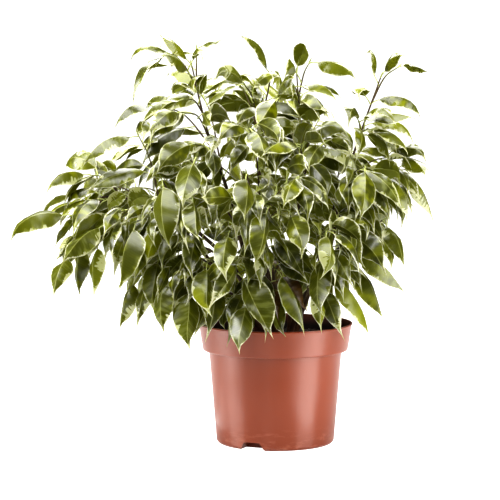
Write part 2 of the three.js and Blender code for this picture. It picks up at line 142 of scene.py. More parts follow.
plant = {
    "soilLevel": 97,
    "caneDepth": 32,
    "caneFoot": 6,  # how far a cane rises straight out of the soil
    "rings": {"cane": 9, "twig": 4},  # of the frame's shoots
    "twigArch": 0.17,  # of a twig's length
    "forkAngle": 45,
    "forkRange": (0.3, 0.93),
    "forkStep": 0.02,
    "forkCosts": (60, 120),  # degrees off the angle, and mm to the tip, that weigh the same
    "internode": 22.5,
    "firstLeaf": {"cane": 0.5, "twig": 0.3},  # where leaves begin, as a share of the length
    "leafLength": (38, 60),
    "youngest": 0.82,  # how long the last two leaves are
    "slimness": (0.195, 0.235),  # half width over length
    "petiole": (7, 12),
    "lastPetiole": 8,
    "lastArch": 0.12,
    "lastWidth": 1.1,
    "crown": (130, 350),  # the heights of its low and its high leaves
    "heart": (-42, 20, 0),  # leaves face away from here
    "swings": (0, 20, -20, 40, -40, 62, -62, 88, -88, 120),  # tried in turn for a clear place
    "lift": (-25, 45),
    "spread": (42, 66),
    "lastSpread": (15, 5),  # and more at each attempt
    "weight": (1.8, 0.6),  # how much a leaf hangs, low and high in the crown
    "startFall": (0.25, 0.8),
    "endFall": (0.5, 1.7),
    "fold": (0.04, 0.15),
    "flatFrom": 0.45,  # leaves above this share of the crown lie flatter than in the frame
    "flatter": 3.2,
    "frontLight": (0.75, 0.3),  # how much leaves face the front, low and high in the crown
    "numbers": 40,  # a shoot's leaves are numbered from this times its own number
    "sceneNumbers": 4000,  # leaves that stand in the scene alone are numbered from here
    "rolls": (38, 65),  # how far leaves of the frame, and of the scene alone, turn about their length
    # Single leaves as they look in the photograph: turned, in degrees, with the colours of another
    # seed, with a tip that hangs lower, in mm, those that have withered, and those that the scene
    # leaves out.
    "turned": {
        6: -20, 45: -30, 46: -50, 86: -38, 163: -25, 165: -20, 166: 80, 400: 45, 402: 30, 441: -20,
        482: -45, 563: 25, 720: -60, 760: -45, 761: 50, 1082: -30, 1281: 70, 1560: 25, 1600: -25,
        1920: -45, 2121: -45, 2481: -40, 4600: 40, 6462: 60,
    },
    "tinted": {
        6: 0.62, 46: 0.9, 126: 0.62, 163: 0.34, 166: 0.28, 285: 0.62, 400: 0.34, 402: 0.6, 441: 0.34,
        482: 0.6, 563: 0.28, 720: 0.62, 761: 0.28, 961: 0.34, 962: 0.28, 1082: 0.6, 1281: 0.82,
        2121: 0.9, 2481: 0.28,
    },
    "hung": {761: 8},
    "withered": (240, 3160, 7660, 8742),
    "left out": (4255, 5141, 5321, 5445),
}

# Each stem: its way from the soil, the tip of its last leaf, and (twig tip, last leaf's tip) pairs.
stems = {
    "stem_left": (
        [[-17, 1], [-38, -2, 160], [-92, -5, 208], [-150, -10, 226], [-184, -14, 209]],
        [-243, -19, 189],
        [
            ([-169, 14, 244], [-208, -17, 230]), ([-124, -2, 280], [-174, -26, 253]),
            ([-151, -46, 203], [-189, -74, 169]), ([-184, -25, 174], [-197, -60, 139]),
            ([-160, -32, 188], [-158, -52, 136]), ([-124, -58, 207], [-134, -79, 145]),
            ([-185, 60, 216], [-214, 21, 197]), ([-150, 75, 224], [-177, 37, 199]),
            ([-122, 44, 168], [-136, 14, 129]),
        ],
    ),
    "stem_upper_left": (
        [[-13, 15], [-40, 16, 216], [-62, 8, 284], [-76, 3, 344]],
        [-107, -18, 367],
        [
            ([-76, -6, 334], [-104, -36, 354]), ([-98, -16, 354], [-125, -50, 312]),
            ([-72, 14, 358], [-49, -1, 363]), ([-80, -12, 314], [-120, -32, 288]),
            ([-82, -50, 303], [-113, -85, 286]), ([-70, -57, 275], [-106, -94, 255]),
            ([-112, 40, 306], [-146, 2, 288]), ([-121, 90, 268], [-155, 52, 247]),
            ([-72, 84, 320], [-96, 46, 298]),
        ],
    ),
    "stem_top": (
        [[1, 18], [-12, 24, 200], [-14, 28, 276], [-4, 24, 334]],
        [-36, -1, 369],
        [
            ([3, -34, 315], [-17, -73, 287]), ([-24, -76, 290], [-9, -116, 258]),
            ([-28, -16, 327], [-64, -47, 304]), ([-42, 72, 332], [-70, 32, 315]),
            ([-10, 114, 316], [-23, 74, 284]),
        ],
    ),
    "stem_top_right": (
        [[13, 8], [20, -2, 195], [23, -8, 268], [19, -3, 337]],
        [25, -34, 365],
        [
            ([30, -3, 346], [73, -26, 334]), ([17, -9, 325], [55, -35, 309]),
            ([20, -25, 319], [43, -61, 301]), ([22, -80, 275], [-15, -118, 260]),
            ([40, 52, 292], [69, 14, 268]), ([43, -60, 276], [20, -101, 250]),
            ([9, 78, 311], [24, 40, 279]),
        ],
    ),
    "stem_right": (
        [[19, -3], [46, -6, 180], [70, -4, 262], [95, 0, 333]],
        [116, -26, 354],
        [
            ([110, 2, 342], [135, -22, 337]), ([75, -12, 293], [126, -36, 296]),
            ([81, -23, 287], [119, -57, 265]), ([112, 5, 261], [136, -35, 245]),
            ([119, 14, 249], [143, -6, 202]), ([99, -27, 247], [117, -57, 206]),
            ([78, -65, 257], [75, -96, 210]), ([70, 89, 264], [96, 55, 234]),
            ([101, 78, 241], [127, 44, 208]),
        ],
    ),
    "stem_lower_right": (
        [[14, -14], [33, -26, 150], [58, -30, 182], [97, -8, 204]],
        [114, -36, 162],
        [
            ([69, -25, 183], [116, -33, 137]), ([67, -19, 170], [95, -29, 113]),
            ([59, -68, 212], [65, -97, 171]), ([43, -92, 202], [42, -123, 161]),
            ([41, -80, 181], [35, -106, 127]), ([47, -49, 160], [84, -57, 102]),
            ([36, -59, 154], [38, -83, 111]), ([78, 48, 199], [105, 18, 164]),
        ],
    ),
    "stem_front": (
        [[-1, -19], [-7, -46, 150], [-14, -78, 200], [-26, -107, 252]],
        [-31, -141, 212],
        [
            ([-34, -113, 229], [-67, -149, 232]), ([19, -95, 249], [6, -136, 225]),
            ([-7, -108, 224], [-20, -140, 172]), ([9, -107, 221], [25, -140, 183]),
            ([-34, -87, 164], [-1, -108, 110]), ([-25, -77, 140], [-35, -98, 94]),
            ([0, -84, 167], [25, -103, 111]), ([-41, -99, 202], [-47, -134, 161]),
            ([-41, -43, 136], [-49, -68, 111]),
        ],
    ),
    "stem_front_left": (
        [[-14, -12], [-44, -32, 146], [-74, -56, 196], [-100, -85, 246]],
        [-92, -108, 185],
        [
            ([-70, -82, 265], [-82, -115, 222]), ([-73, -93, 231], [-70, -127, 194]),
            ([-101, -43, 201], [-115, -76, 170]), ([-103, -50, 177], [-113, -63, 126]),
            ([-125, -31, 155], [-139, -50, 108]), ([-95, -59, 162], [-100, -79, 108]),
            ([-76, -68, 152], [-81, -83, 88]), ([-61, -77, 172], [-62, -110, 127]),
        ],
    ),
    "stem_back": (
        [[5, 31], [-6, 54, 168], [-22, 84, 216], [-42, 112, 268]],
        None,
        [
            ([-92, 116, 250], None), ([18, 124, 258], None), ([56, 112, 220], None),
            ([-116, 104, 208], None), ([-32, 146, 196], None), ([-74, 106, 154], None),
            ([26, 118, 160], None), ([70, 86, 176], None),
        ],
    ),
}

up = np.array([0.0, 0.0, 1.0])
front = np.array([0.0, -1.0, 0.0])  # the plant has grown towards the light on this side


def vec(*values):
    return np.array(values, float)


def unit(v):
    return v / np.linalg.norm(v)


def lerp(a, b, share):
    return a + (b - a) * share


def between(limits, share):
    return limits[0] + (limits[1] - limits[0]) * share


# A repeatable number from 0 to 1 for each pair of whole numbers, on 32 bits.
def chance(a, b):
    word = 0xFFFFFFFF
    h = ((a + 1) * 0x9E3779B1 & word) ^ ((b + 1) * 0x85EBCA6B & word)
    h = (h ^ h >> 15) * 0x2C1B3C6D & word
    h = (h ^ h >> 12) * 0x297A2D39 & word
    return (h ^ h >> 15) / 4294967296


# A smooth curve through points, and the direction along it.
def pointOn(points, share):
    place = (len(points) - 1) * share
    k = min(int(place), len(points) - 2)
    t = place - k
    p1, p2 = points[k], points[k + 1]
    p0 = points[k - 1] if k else 2 * p1 - p2
    p3 = points[k + 2] if k + 2 < len(points) else 2 * p2 - p1
    m1, m2 = (p2 - p0) / 2, (p3 - p1) / 2
    return p1 + m1 * t + (3 * (p2 - p1) - 2 * m1 - m2) * t**2 + (2 * (p1 - p2) + m1 + m2) * t**3


def aheadOn(points, share):
    low, high = max(share - 0.0001, 0), min(share + 0.0001, 1)
    return unit(pointOn(points, high) - pointOn(points, low))


def lengthOf(points):
    return sum(np.linalg.norm(b - a) for a, b in zip(points, points[1:]))


def growShoot(kind, points, last):
    length = lengthOf([pointOn(points, i / 200) for i in range(201)])
    return {"kind": kind, "points": points, "length": length, "last": last}


def seatOn(shoot, share):  # on the straight line between the frame's rings
    spans = plant["rings"][shoot["kind"]] - 1
    k = min(int(share * spans), spans - 1)
    a, b = (pointOn(shoot["points"], (k + i) / spans) for i in (0, 1))
    return lerp(a, b, share * spans - k)


def growCane(way, last):
    (x, y), level = way[0], plant["soilLevel"]
    points = [vec(x, y, level - plant["caneDepth"]), vec(x, y, level + plant["caneFoot"])]
    return growShoot("cane", points + [vec(*p) for p in way[1:]], last)


def growTwig(parent, tip, last):
    best, least = 0, math.inf
    degrees, reaches = plant["forkCosts"]
    share, end = plant["forkRange"]
    while share < end:
        reach = tip - pointOn(parent["points"], share)
        turn = unit(reach) @ aheadOn(parent["points"], share)
        angle = math.degrees(math.acos(max(-1, min(1, turn))))
        cost = abs(angle - plant["forkAngle"]) / degrees + np.linalg.norm(reach) / reaches
        if cost < least:
            best, least = share, cost
        share += plant["forkStep"]
    root = seatOn(parent, best)
    middle = lerp(root, tip, 0.5) + up * np.linalg.norm(tip - root) * plant["twigArch"]
    return growShoot("twig", [root, middle, tip], last)


def nudge(attempt):  # a widening spiral, for the next attempt at a clear place
    turn, reach = attempt * 2.4, attempt * 2.2
    return reach * vec(math.cos(turn), math.sin(turn), 1.5 * math.sin(3 * turn))


# Where one leaf grows, which way it hangs, and how large it is.
def leafPose(shoot, share, side, number, attempt, terminal, youth):
    rule = plant
    ahead, root = aheadOn(shoot["points"], share), pointOn(shoot["points"], share)
    outward = unit((root - vec(*rule["heart"])) * vec(1, 1, 0))
    over = up + 0.4 * outward
    over = unit(over - ahead * (over @ ahead))
    aside = np.cross(ahead, over)
    lift = between(rule["lift"], chance(number, 1)) + rule["swings"][attempt]
    around = math.radians(lift if side > 0 else 180 - lift)
    first, more = rule["lastSpread"]
    spread = first + more * attempt if terminal else between(rule["spread"], chance(number, 2))
    spread = math.radians(spread)
    low, high = rule["crown"]
    height = (root[2] - low) / (high - low)
    skyward = max(0, height - rule["flatFrom"]) * rule["flatter"]
    rolls = rule["rolls"][0 if number < rule["sceneNumbers"] else 1]
    pose = {
        "seat": seatOn(shoot, share),
        "light": unit(outward * 0.6 + up * (0.7 + skyward) + front * lerp(*rule["frontLight"], height)),
        "roll": math.radians(between((-rolls, rolls), chance(number, 7)) + rule["turned"].get(number, 0)),
        "fold": between(rule["fold"], chance(number, 9)),
    }
    slimness = between(rule["slimness"], chance(number, 8))
    if terminal and shoot["last"] is not None:
        tip = shoot["last"] + nudge(attempt)
        base = root + unit(unit(tip - root) + 0.35 * up) * rule["lastPetiole"]
        length = np.linalg.norm(tip - base)
        bend = lerp(base, tip, 0.5) + up * length * rule["lastArch"]
        return {**pose, "base": base, "bend": bend, "tip": tip, "halfWidth": length * slimness * rule["lastWidth"]}
    stalk = ahead * math.cos(spread) + aside * math.cos(around) * math.sin(spread)
    stalk = stalk + over * math.sin(around) * math.sin(spread)
    base = root + stalk * between(rule["petiole"], chance(number, 3))
    weight = lerp(*rule["weight"], height)
    start = stalk - up * between(rule["startFall"], chance(number, 4)) * weight
    start = unit(start + 0.25 * outward)
    end = unit(start - up * between(rule["endFall"], chance(number, 5)) * weight + 0.2 * outward)
    length = between(rule["leafLength"], chance(number, 6)) * youth
    bend = base + start * length / 2
    return {**pose, "base": base, "bend": bend, "tip": bend + end * length / 2, "halfWidth": length * slimness}


# The share of a shoot's length where its leaves begin, and how many follow the first.
def leafing(shoot):
    first = plant["firstLeaf"][shoot["kind"]]
    return first, math.floor(shoot["length"] * (1 - first) / plant["internode"] + 0.5)


# Every leaf of the frame is found by the tip that its solid has there.
shoots = []
for name, (way, last, twigs) in stems.items():
    shoots.append({"node": name, **growCane(way, last and vec(*last))})
for name, (way, last, twigs) in stems.items():
    parent = next(s for s in shoots if s["node"] == name)
    for tip, twigLast in twigs:
        shoots.append({"node": name, **growTwig(parent, vec(*tip), twigLast and vec(*twigLast))})

cornersOf = {}
for name in stems:
    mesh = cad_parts[name].data
    corners = kdtree.KDTree(len(mesh.vertices))
    for v in mesh.vertices:
        corners.insert(v.co, v.index)
    corners.balance()
    cornersOf[name] = corners

leaves, missing = [], 0
for shootNumber, shoot in enumerate(shoots):
    first, count = leafing(shoot)
    for i in range(count + 1):
        terminal, late = i == count, count - i < 2
        share = 1 if terminal else first + (1 - first) * i / count
        youth = plant["youngest"] if late else 1
        side, number = (1 if i % 2 else -1), shootNumber * plant["numbers"] + i
        for attempt in range(len(plant["swings"])):
            pose = leafPose(shoot, share, side, number, attempt, terminal, youth)
            if cornersOf[shoot["node"]].find(pose["tip"] * mm)[2] < 0.05 * mm:
                young = 1 if terminal else 0.6 if late else 0.2
                leaves.append({**pose, "node": shoot["node"], "number": number, "young": young})
                break
        else:
            missing += 1
print("leaves found in the frame:", len(leaves), "dropped there:", missing)


# More leaves stand between those of the frame, where they are clear of every other leaf.

filling = {
    "places": (0.25, 0.5, 0.75),  # between two leaves of the frame
    "upTo": 0.93,  # of the shoot's length
    "attempts": 8,
    "clearance": 2.8,  # mm between two blades' sample points
    "cell": 4.0,
    "sizes": (0.6, 0.95),
    "openAbove": 250,  # mm, where the crown thins out
    "keptAbove": 0.24,  # share of the leaves that still grow there
    "numbers": 60,  # kept for each shoot
    "youth": 0.3,
    "rim": (70, (110, 106, 102)),  # the radius and heights of the pot's collar
    "shootFrom": {"cane": 12, "twig": 10},  # the first of a shoot's 30 points that leaves keep clear of
    "offPot": {"above": 113, "outside": 74, "inside": 62, "overSoil": 101},
}
taken = {}


def ribOf(pose, share):
    back = 1 - share
    return back * back * pose["base"] + 2 * back * share * pose["bend"] + share * share * pose["tip"]


def ribAhead(pose, share):
    return unit((1 - share) * (pose["bend"] - pose["base"]) + share * (pose["tip"] - pose["bend"]))


# The blade's upper side at each share along its rib, as it turns with the rib.
def facesOf(pose, shares, twist=0):
    stalk = unit(pose["base"] - pose["seat"])
    face, faces = pose["light"] - stalk * (pose["light"] @ stalk), []
    for share in shares:
        ahead = ribAhead(pose, share)
        face = unit(face - ahead * (face @ ahead))
        turn = pose["roll"] + twist * share**2
        faces.append(face * math.cos(turn) + np.cross(ahead, face) * math.sin(turn))
    return faces


def samplesOf(pose):
    shares = (0.03, 0.15, 0.28, 0.4, 0.52, 0.64, 0.76, 0.88, 1)
    spots = []
    for share, face in zip(shares, facesOf(pose, shares)):
        aside = np.cross(ribAhead(pose, share), face) * pose["halfWidth"] * math.sin(math.pi * share**0.8) ** 0.7
        spots += [ribOf(pose, share) + aside * k for k in (-0.9, -0.45, 0, 0.45, 0.9)]
    return spots


def cellOf(spot):
    return tuple(math.floor(c / filling["cell"]) for c in spot)


def isFree(spots):
    steps = (-1, 0, 1)
    for spot in spots:
        x, y, z = cellOf(spot)
        for near in (taken.get((x + i, y + j, z + k), ()) for i in steps for j in steps for k in steps):
            if any(np.linalg.norm(spot - other) < filling["clearance"] for other in near):
                return False
    return True


def take(spots):
    for spot in spots:
        taken.setdefault(cellOf(spot), []).append(spot)


# Extra leaves keep to the frame's box, off the pot's wall and the soil, and below the crown's open top.
def isInside(spot):
    away, off = math.hypot(spot[0], spot[1]), filling["offPot"]
    overSoil = away < off["inside"] and spot[2] > off["overSoil"]
    offWall = spot[2] > off["above"] or away > off["outside"] or overSoil
    return offWall and (lowest <= spot).all() and (spot <= highest).all()


rimRadius, rimHeights = filling["rim"]
take([vec(rimRadius * math.cos(a / 9), rimRadius * math.sin(a / 9), z) for a in range(57) for z in rimHeights])
for leaf in leaves:
    take(samplesOf(leaf))
for shoot in shoots:
    take([pointOn(shoot["points"], k / 30) for k in range(filling["shootFrom"][shoot["kind"]], 31)])
lowest, highest = (np.array(corner) / mm for corner in cadBox)

places, added = filling["places"], 0
for shootNumber, shoot in enumerate(shoots):
    first, count = leafing(shoot)
    for i in range(count * len(places)):
        share = first + (filling["upTo"] - first) * (i // len(places) + places[i % len(places)]) / count
        number = plant["sceneNumbers"] + shootNumber * filling["numbers"] + i
        size = between(filling["sizes"], chance(number, 14))
        for attempt in range(filling["attempts"]):
            side = 1 if (i + attempt) % 2 else -1
            pose = leafPose(shoot, share, side, number, attempt, False, size)
            spots = samplesOf(pose)
            sparse = pose["seat"][2] > filling["openAbove"] and chance(number, 16) > filling["keptAbove"]
            if sparse or number in plant["left out"]:
                break
            if all(isInside(spot) for spot in spots) and isFree(spots):
                take(spots)
                leaves.append({**pose, "node": shoot["node"], "number": number, "young": filling["youth"]})
                added += 1
                break
print("leaves between them:", added)


# Materials

foliageColours = {
    "dark green": "#232801",
    "mid green": "#5e6306",
    "grey green": "#7b8146",
    "lime": "#959a10",
    "cream": "#e4e2c8",
    "pale green": "#a9ad74",
    "young edge": "#bfc384",
    "midrib": "#a8aa64",
    "underside": "#80853f",
    "withered": ("#352008", "#80602a"),
    "vein spacing": 2.4 * mm,
    "margin": (0.22 * mm, 0.7 * mm),  # how wide the cream edge is, from leaf to leaf
    "gloss": 0.34,
    "wax": 0.23,  # the roughness of the cuticle's shine
    "through green": "#aaac22",
    "through cream": "#e6e4be",
    "thinness": 0.32,  # share of the light that passes each side of a blade
    "stalk": ("#8f9a45", "#cdd08a"),
    "old bark": ("#3a1f12", "#7d4c2f"),
    "bark": ("#261b0c", "#5a4624"),
    "green bark": "#7d8440",
}


# A living variegated leaf with a waxy cuticle: a soft wide sheen over a green that breaks up
# into a cream edge along its fine side veins. The underside is paler and matt.
def variegatedLeaf():
    look = foliageColours
    material, add, shader = newMaterial("variegated fig leaf")
    place = add("ShaderNodeAttribute", attribute_name="leafPlace").outputs["Vector"]
    inset, underside, leafSeed, young = (
        add("ShaderNodeAttribute", attribute_name=name).outputs["Fac"]
        for name in ("inset", "underside", "leafSeed", "young")
    )
    across, along, own = add("ShaderNodeSeparateXYZ", [place]).outputs
    aside = add("ShaderNodeMath", [across], operation="ABSOLUTE")
    slant = add("ShaderNodeMath", [aside, -0.6, along], operation="MULTIPLY_ADD")
    streak = add("ShaderNodeCombineXYZ", {"X": across, "Y": slant, "Z": own})
    streak = add("ShaderNodeVectorMath", [streak, (1.0, 2.6, 1.0)], operation="MULTIPLY")

    # Four more numbers from 0 to 1 that each leaf draws from its seed.
    draws = []
    for factor in (3.7, 7.3, 11.3, 5.1):
        turns = add("ShaderNodeMath", [leafSeed, factor], operation="MULTIPLY")
        draws.append(add("ShaderNodeMath", [turns], operation="FRACT"))
    blotched, depthOfGreen, streaky, vivid = draws

    # Patterns on the blade: blotches 18 mm wide, tongues of 6 mm along the side veins, an edge that
    # comes and goes each 8 mm, mottling of 11 mm, patches of 12 mm, grain drawn coarser than life,
    # at 1.7 mm, and swells of 11 mm.
    broad, ragged, fade, mottle, patch, grain, swells = (
        add("ShaderNodeTexNoise", {"Vector": over, "Scale": scale, "Detail": detail})
        for over, scale, detail in (
            (place, 55.0, 1.0), (streak, 170.0, 2.0), (place, 130.0, 2.0), (streak, 90.0, 2.0),
            (place, 80.0, 2.0), (place, 600.0, 1.0), (place, 95.0, 1.0),
        )
    )

    # The cream edge: its width changes along the leaf, with tongues that follow the side veins.
    low, high = look["margin"]
    width = add("ShaderNodeMapRange", {"Value": leafSeed, "To Min": low, "To Max": high})
    fade = add(
        "ShaderNodeMapRange", {"Value": fade, "From Min": 0.36, "From Max": 0.64, "To Min": -0.1, "To Max": 1.4}
    )
    width = add("ShaderNodeMath", [width, fade], operation="MULTIPLY")
    broad = add("ShaderNodeMath", [blotched, 0.22, broad], operation="MULTIPLY_ADD")
    swell = add("ShaderNodeMapRange", {"Value": broad, "From Min": 0.67, "From Max": 0.92, "To Max": 6 * mm})
    width = add("ShaderNodeMath", [width, swell], operation="ADD")
    tongue = add("ShaderNodeMapRange", {"Value": ragged, "From Min": 0.35, "From Max": 0.65, "To Min": -0.6})
    tongue = add("ShaderNodeMath", [tongue, width, width], operation="MULTIPLY_ADD")
    depth = add("ShaderNodeMath", [inset, tongue], operation="SUBTRACT")
    cream = add("ShaderNodeMapRange", {"Value": depth, "From Min": 0.6 * mm, "From Max": -0.2 * mm})
    nearCream = add("ShaderNodeMapRange", {"Value": depth, "From Min": 3.6 * mm, "From Max": 0.4 * mm})

    # The green field: each leaf has its own depth of green, with a paler layer in places, and with
    # lime in fresh leaves and in vivid patches.
    depthOfGreen = add("ShaderNodeMath", [mottle, 0.7, depthOfGreen], operation="MULTIPLY_ADD")
    share = add("ShaderNodeMapRange", {"Value": depthOfGreen, "From Min": 0.25, "From Max": 1.2})
    green = add("ShaderNodeMix", {"Factor": share, "A": look["dark green"], "B": look["mid green"]}, data_type="RGBA")
    layer = add("ShaderNodeMapRange", {"Value": mottle, "From Min": 0.5, "From Max": 0.62})
    streaky = add("ShaderNodeMapRange", {"Value": streaky, "From Min": 0.35, "From Max": 0.9, "To Max": 0.8})
    streaky = add("ShaderNodeMath", [streaky, nearCream], operation="MAXIMUM")
    layer = add("ShaderNodeMath", [layer, streaky], operation="MULTIPLY")
    fresh = add("ShaderNodeMapRange", {"Value": leafSeed, "From Min": 0.8, "From Max": 1.0, "To Max": 0.9})
    fresh = add("ShaderNodeMath", [young, 0.12, fresh], operation="MULTIPLY_ADD")
    patch = add("ShaderNodeMapRange", {"Value": patch, "From Min": 0.5, "From Max": 0.62, "To Max": 0.8})
    vivid = add("ShaderNodeMath", [vivid, patch], operation="MULTIPLY")
    for share, tone in ((layer, "grey green"), (fresh, "lime"), (vivid, "lime")):
        green = add("ShaderNodeMix", {"Factor": share, "A": green, "B": look[tone]}, data_type="RGBA")

    # Where the edge is wide it is pale green inside its cream line. The edges of young leaves are greener.
    wide = add("ShaderNodeMapRange", {"Value": swell, "From Max": 2.2 * mm, "To Max": 0.85})
    inward = add("ShaderNodeMapRange", {"Value": inset, "From Min": 0.3 * mm, "From Max": 1.2 * mm})
    wide = add("ShaderNodeMath", [wide, inward], operation="MULTIPLY")
    new = add("ShaderNodeMath", [young, 0.4], operation="MULTIPLY")
    pale = look["cream"]
    for share, tone in ((wide, "pale green"), (new, "young edge")):
        pale = add("ShaderNodeMix", {"Factor": share, "A": pale, "B": look[tone]}, data_type="RGBA")

    # The midrib and the side veins, drawn wider than life so that they show.
    rib = add("ShaderNodeMapRange", {"Value": aside, "From Min": 0.5 * mm, "From Max": 0.15 * mm, "To Max": 0.8})
    turns = add("ShaderNodeMath", [slant, math.pi / look["vein spacing"]], operation="MULTIPLY")
    veins = add("ShaderNodeMath", [turns], operation="SINE")
    veins = add("ShaderNodeMath", [veins], operation="ABSOLUTE")
    veins = add("ShaderNodeMapRange", {"Value": veins, "From Min": 0.22, "From Max": 0.0})
    tint = add("ShaderNodeMath", [veins, 0.16], operation="MULTIPLY")

    # A withered leaf, whose youth is below nought, is brown all over.
    dry = add("ShaderNodeMapRange", {"Value": young, "From Max": -1.0})
    dark, light = look["withered"]
    brown = add("ShaderNodeMix", {"Factor": mottle, "A": dark, "B": light}, data_type="RGBA")
    under = add("ShaderNodeMath", [underside, 0.55], operation="MULTIPLY")
    colour = green
    for share, tone in (
        (cream, pale), (rib, look["midrib"]), (tint, look["midrib"]), (dry, brown), (under, look["underside"]),
    ):
        colour = add("ShaderNodeMix", {"Factor": share, "A": colour, "B": tone}, data_type="RGBA")

    relief = add("ShaderNodeMath", [veins, -0.7, rib], operation="MULTIPLY_ADD")
    for pattern, height in ((grain, 1.2), (swells, 6.0)):
        relief = add("ShaderNodeMath", [pattern, height, relief], operation="MULTIPLY_ADD")
    feed(shader, {
        "Base Color": colour,
        "Roughness": add("ShaderNodeMapRange", {"Value": underside, "To Min": look["gloss"], "To Max": 0.62}),
        "Normal": add("ShaderNodeBump", {"Strength": 0.5, "Distance": 0.25 * mm, "Height": relief}),
        "IOR": 1.45,
        "Specular IOR Level": 0.12,
        "Coat Weight": add("ShaderNodeMapRange", {"Value": underside, "To Min": 1.0, "To Max": 0.0}),
        "Coat Roughness": look["wax"],
        "Coat IOR": 1.62,
    })

    # Light from behind comes through the thin blade as a clear yellow green.
    through = look["through green"]
    for share, tone in ((cream, look["through cream"]), (dry, brown)):
        through = add("ShaderNodeMix", {"Factor": share, "A": through, "B": tone}, data_type="RGBA")
    glow = add("ShaderNodeBsdfTranslucent", {"Color": through})
    both = add("ShaderNodeMixShader", [look["thinness"], shader.outputs[0], glow])
    feed(material.node_tree.nodes["Material Output"], {"Surface": both})
    return material


# A living leaf stalk: smooth, pale yellow-green and slightly waxy.
def leafStalk():
    material, add, shader = newMaterial("fig leaf stalk")
    spot = add("ShaderNodeTexCoord").outputs["Object"]
    tone = add("ShaderNodeTexNoise", {"Vector": spot, "Scale": 120.0})
    dark, light = foliageColours["stalk"]
    colour = add("ShaderNodeMix", {"Factor": tone, "A": dark, "B": light}, data_type="RGBA")
    feed(shader, {"Base Color": colour, "Roughness": 0.45})
    return material


# Young fig bark: thin and matt, green-brown on twigs and dark grey-brown on the canes, with fine
# lengthwise cracks and raised pores about a millimetre wide.
def figBark():
    look = foliageColours
    material, add, shader = newMaterial("fig bark")
    spot = add("ShaderNodeTexCoord").outputs["Object"]
    age = add("ShaderNodeAttribute", attribute_name="young").outputs["Fac"]
    blotch = add("ShaderNodeTexNoise", {"Vector": spot, "Scale": 160.0, "Detail": 4.0})
    old, wood = (
        add("ShaderNodeMix", {"Factor": blotch, "A": dark, "B": light}, data_type="RGBA")
        for dark, light in (look["old bark"], look["bark"])
    )
    grown = add("ShaderNodeMapRange", {"Value": age, "From Min": 0.08, "From Max": 0.2})
    green = add("ShaderNodeMath", [blotch, 0.35, age], operation="MULTIPLY_ADD")
    green = add("ShaderNodeMapRange", {"Value": green, "From Min": 0.65, "From Max": 1.2})
    colour = old
    for share, tone in ((grown, wood), (green, look["green bark"])):
        colour = add("ShaderNodeMix", {"Factor": share, "A": colour, "B": tone}, data_type="RGBA")
    lengthwise = add("ShaderNodeVectorMath", [spot, (1.0, 1.0, 0.25)], operation="MULTIPLY")
    cracks = add("ShaderNodeTexNoise", {"Vector": lengthwise, "Scale": 900.0, "Detail": 3.0})
    pores = add("ShaderNodeTexVoronoi", {"Vector": spot, "Scale": 420.0})
    relief = add("ShaderNodeMath", [pores, -0.6, cracks], operation="MULTIPLY_ADD")
    bump = add("ShaderNodeBump", {"Strength": 0.6, "Distance": 0.4 * mm, "Height": relief})
    feed(shader, {"Base Color": colour, "Normal": bump, "Roughness": 0.75})
    return material


# The skeleton: one line for each cane, twig, leaf stalk and rib, with what its points need.

leafyStem = {
    "points": {"cane": 30, "twig": 14},
    "radius": {"cane": (3.8, 0.6), "twig": (1.0, 0.5)},  # mm, at the root and at the tip
    "youth": {"cane": (0, 0.5), "twig": (0.35, 0.85)},  # from old brown bark to young green bark
    "bud": ((1.0, 0.7), (3.0, 0.6), (4.8, 0.35), (6.2, 0.02)),  # how far past the end, and its radius
    "ribShares": (0, 0.05, 0.13, 0.24, 0.37, 0.5, 0.63, 0.75, 0.85, 0.93, 1),
    "widths": (0.03, 0.3, 0.62, 0.89, 1, 0.98, 0.83, 0.53, 0.19, 0.06, 0),  # of the blade at those shares
    "stalkRadii": (0.75, 0.55, 0.5, 0.5, 0.42, 0.3, 0.12),  # mm
    "stalkShares": (0.08, 0.2, 0.34),  # how far the stalk runs on under the rib
    "stalkSag": 0.06,  # of its length
    "slim": 0.94,
    "arch": (0.05, 0.2),  # how far the rib bows up, as a share of the leaf's length
    "tipFrom": 0.66,  # the share of the rib where the tip begins to curl and droop
    "tipCurl": 6,
    "droop": (2, 8.5),  # mm, how far a tip hangs lower than in the frame
    "twist": 22,  # degrees
    "fold": (0.08, 0.5),  # how much more than in the frame the halves fold down along the rib
    "youngFold": 0.3,  # and more again on the last leaf of a shoot
    "frontOf": -45,  # mm; most leaves that hang in front of this take the colours of a dark seed
    "darkFrontShare": 0.75,
    "darkFrontSeeds": (0.28, 0.14, 0.42, 0.55, 0.69),
}
pathValues = {"part": "INT", "face": "FLOAT_VECTOR"}
pathValues.update({name: "FLOAT" for name in ("reach", "along", "leafSeed", "young", "fold", "span")})
bladeValues = {"side": "FLOAT_VECTOR", "ribPlace": "FLOAT_VECTOR", "acrossShare": "FLOAT", "upShare": "FLOAT"}


def addPath(skeleton, points, **values):
    start = len(skeleton["points"])
    skeleton["points"] += [p * mm for p in points]
    skeleton["edges"] += [(start + i, start + i + 1) for i in range(len(points) - 1)]
    for name, kind in pathValues.items():
        value = values.get(name, vec(0, 0, 1) if kind == "FLOAT_VECTOR" else 0)
        skeleton[name] += value if isinstance(value, list) else [value] * len(points)


def addShoot(skeleton, shoot):
    look, kind = leafyStem, shoot["kind"]
    count = look["points"][kind]
    shares = [i / (count - 1) for i in range(count)]
    points = [pointOn(shoot["points"], share) for share in shares]
    reach = [between(look["radius"][kind], share**0.65) * mm for share in shares]
    young = [between(look["youth"][kind], share) for share in shares]
    ahead = aheadOn(shoot["points"], 1)
    for far, radius in look["bud"]:
        points.append(pointOn(shoot["points"], 1) + ahead * far)
        reach.append(radius * mm)
        young.append(1.0)
    addPath(skeleton, points, part=0, reach=reach, young=young)


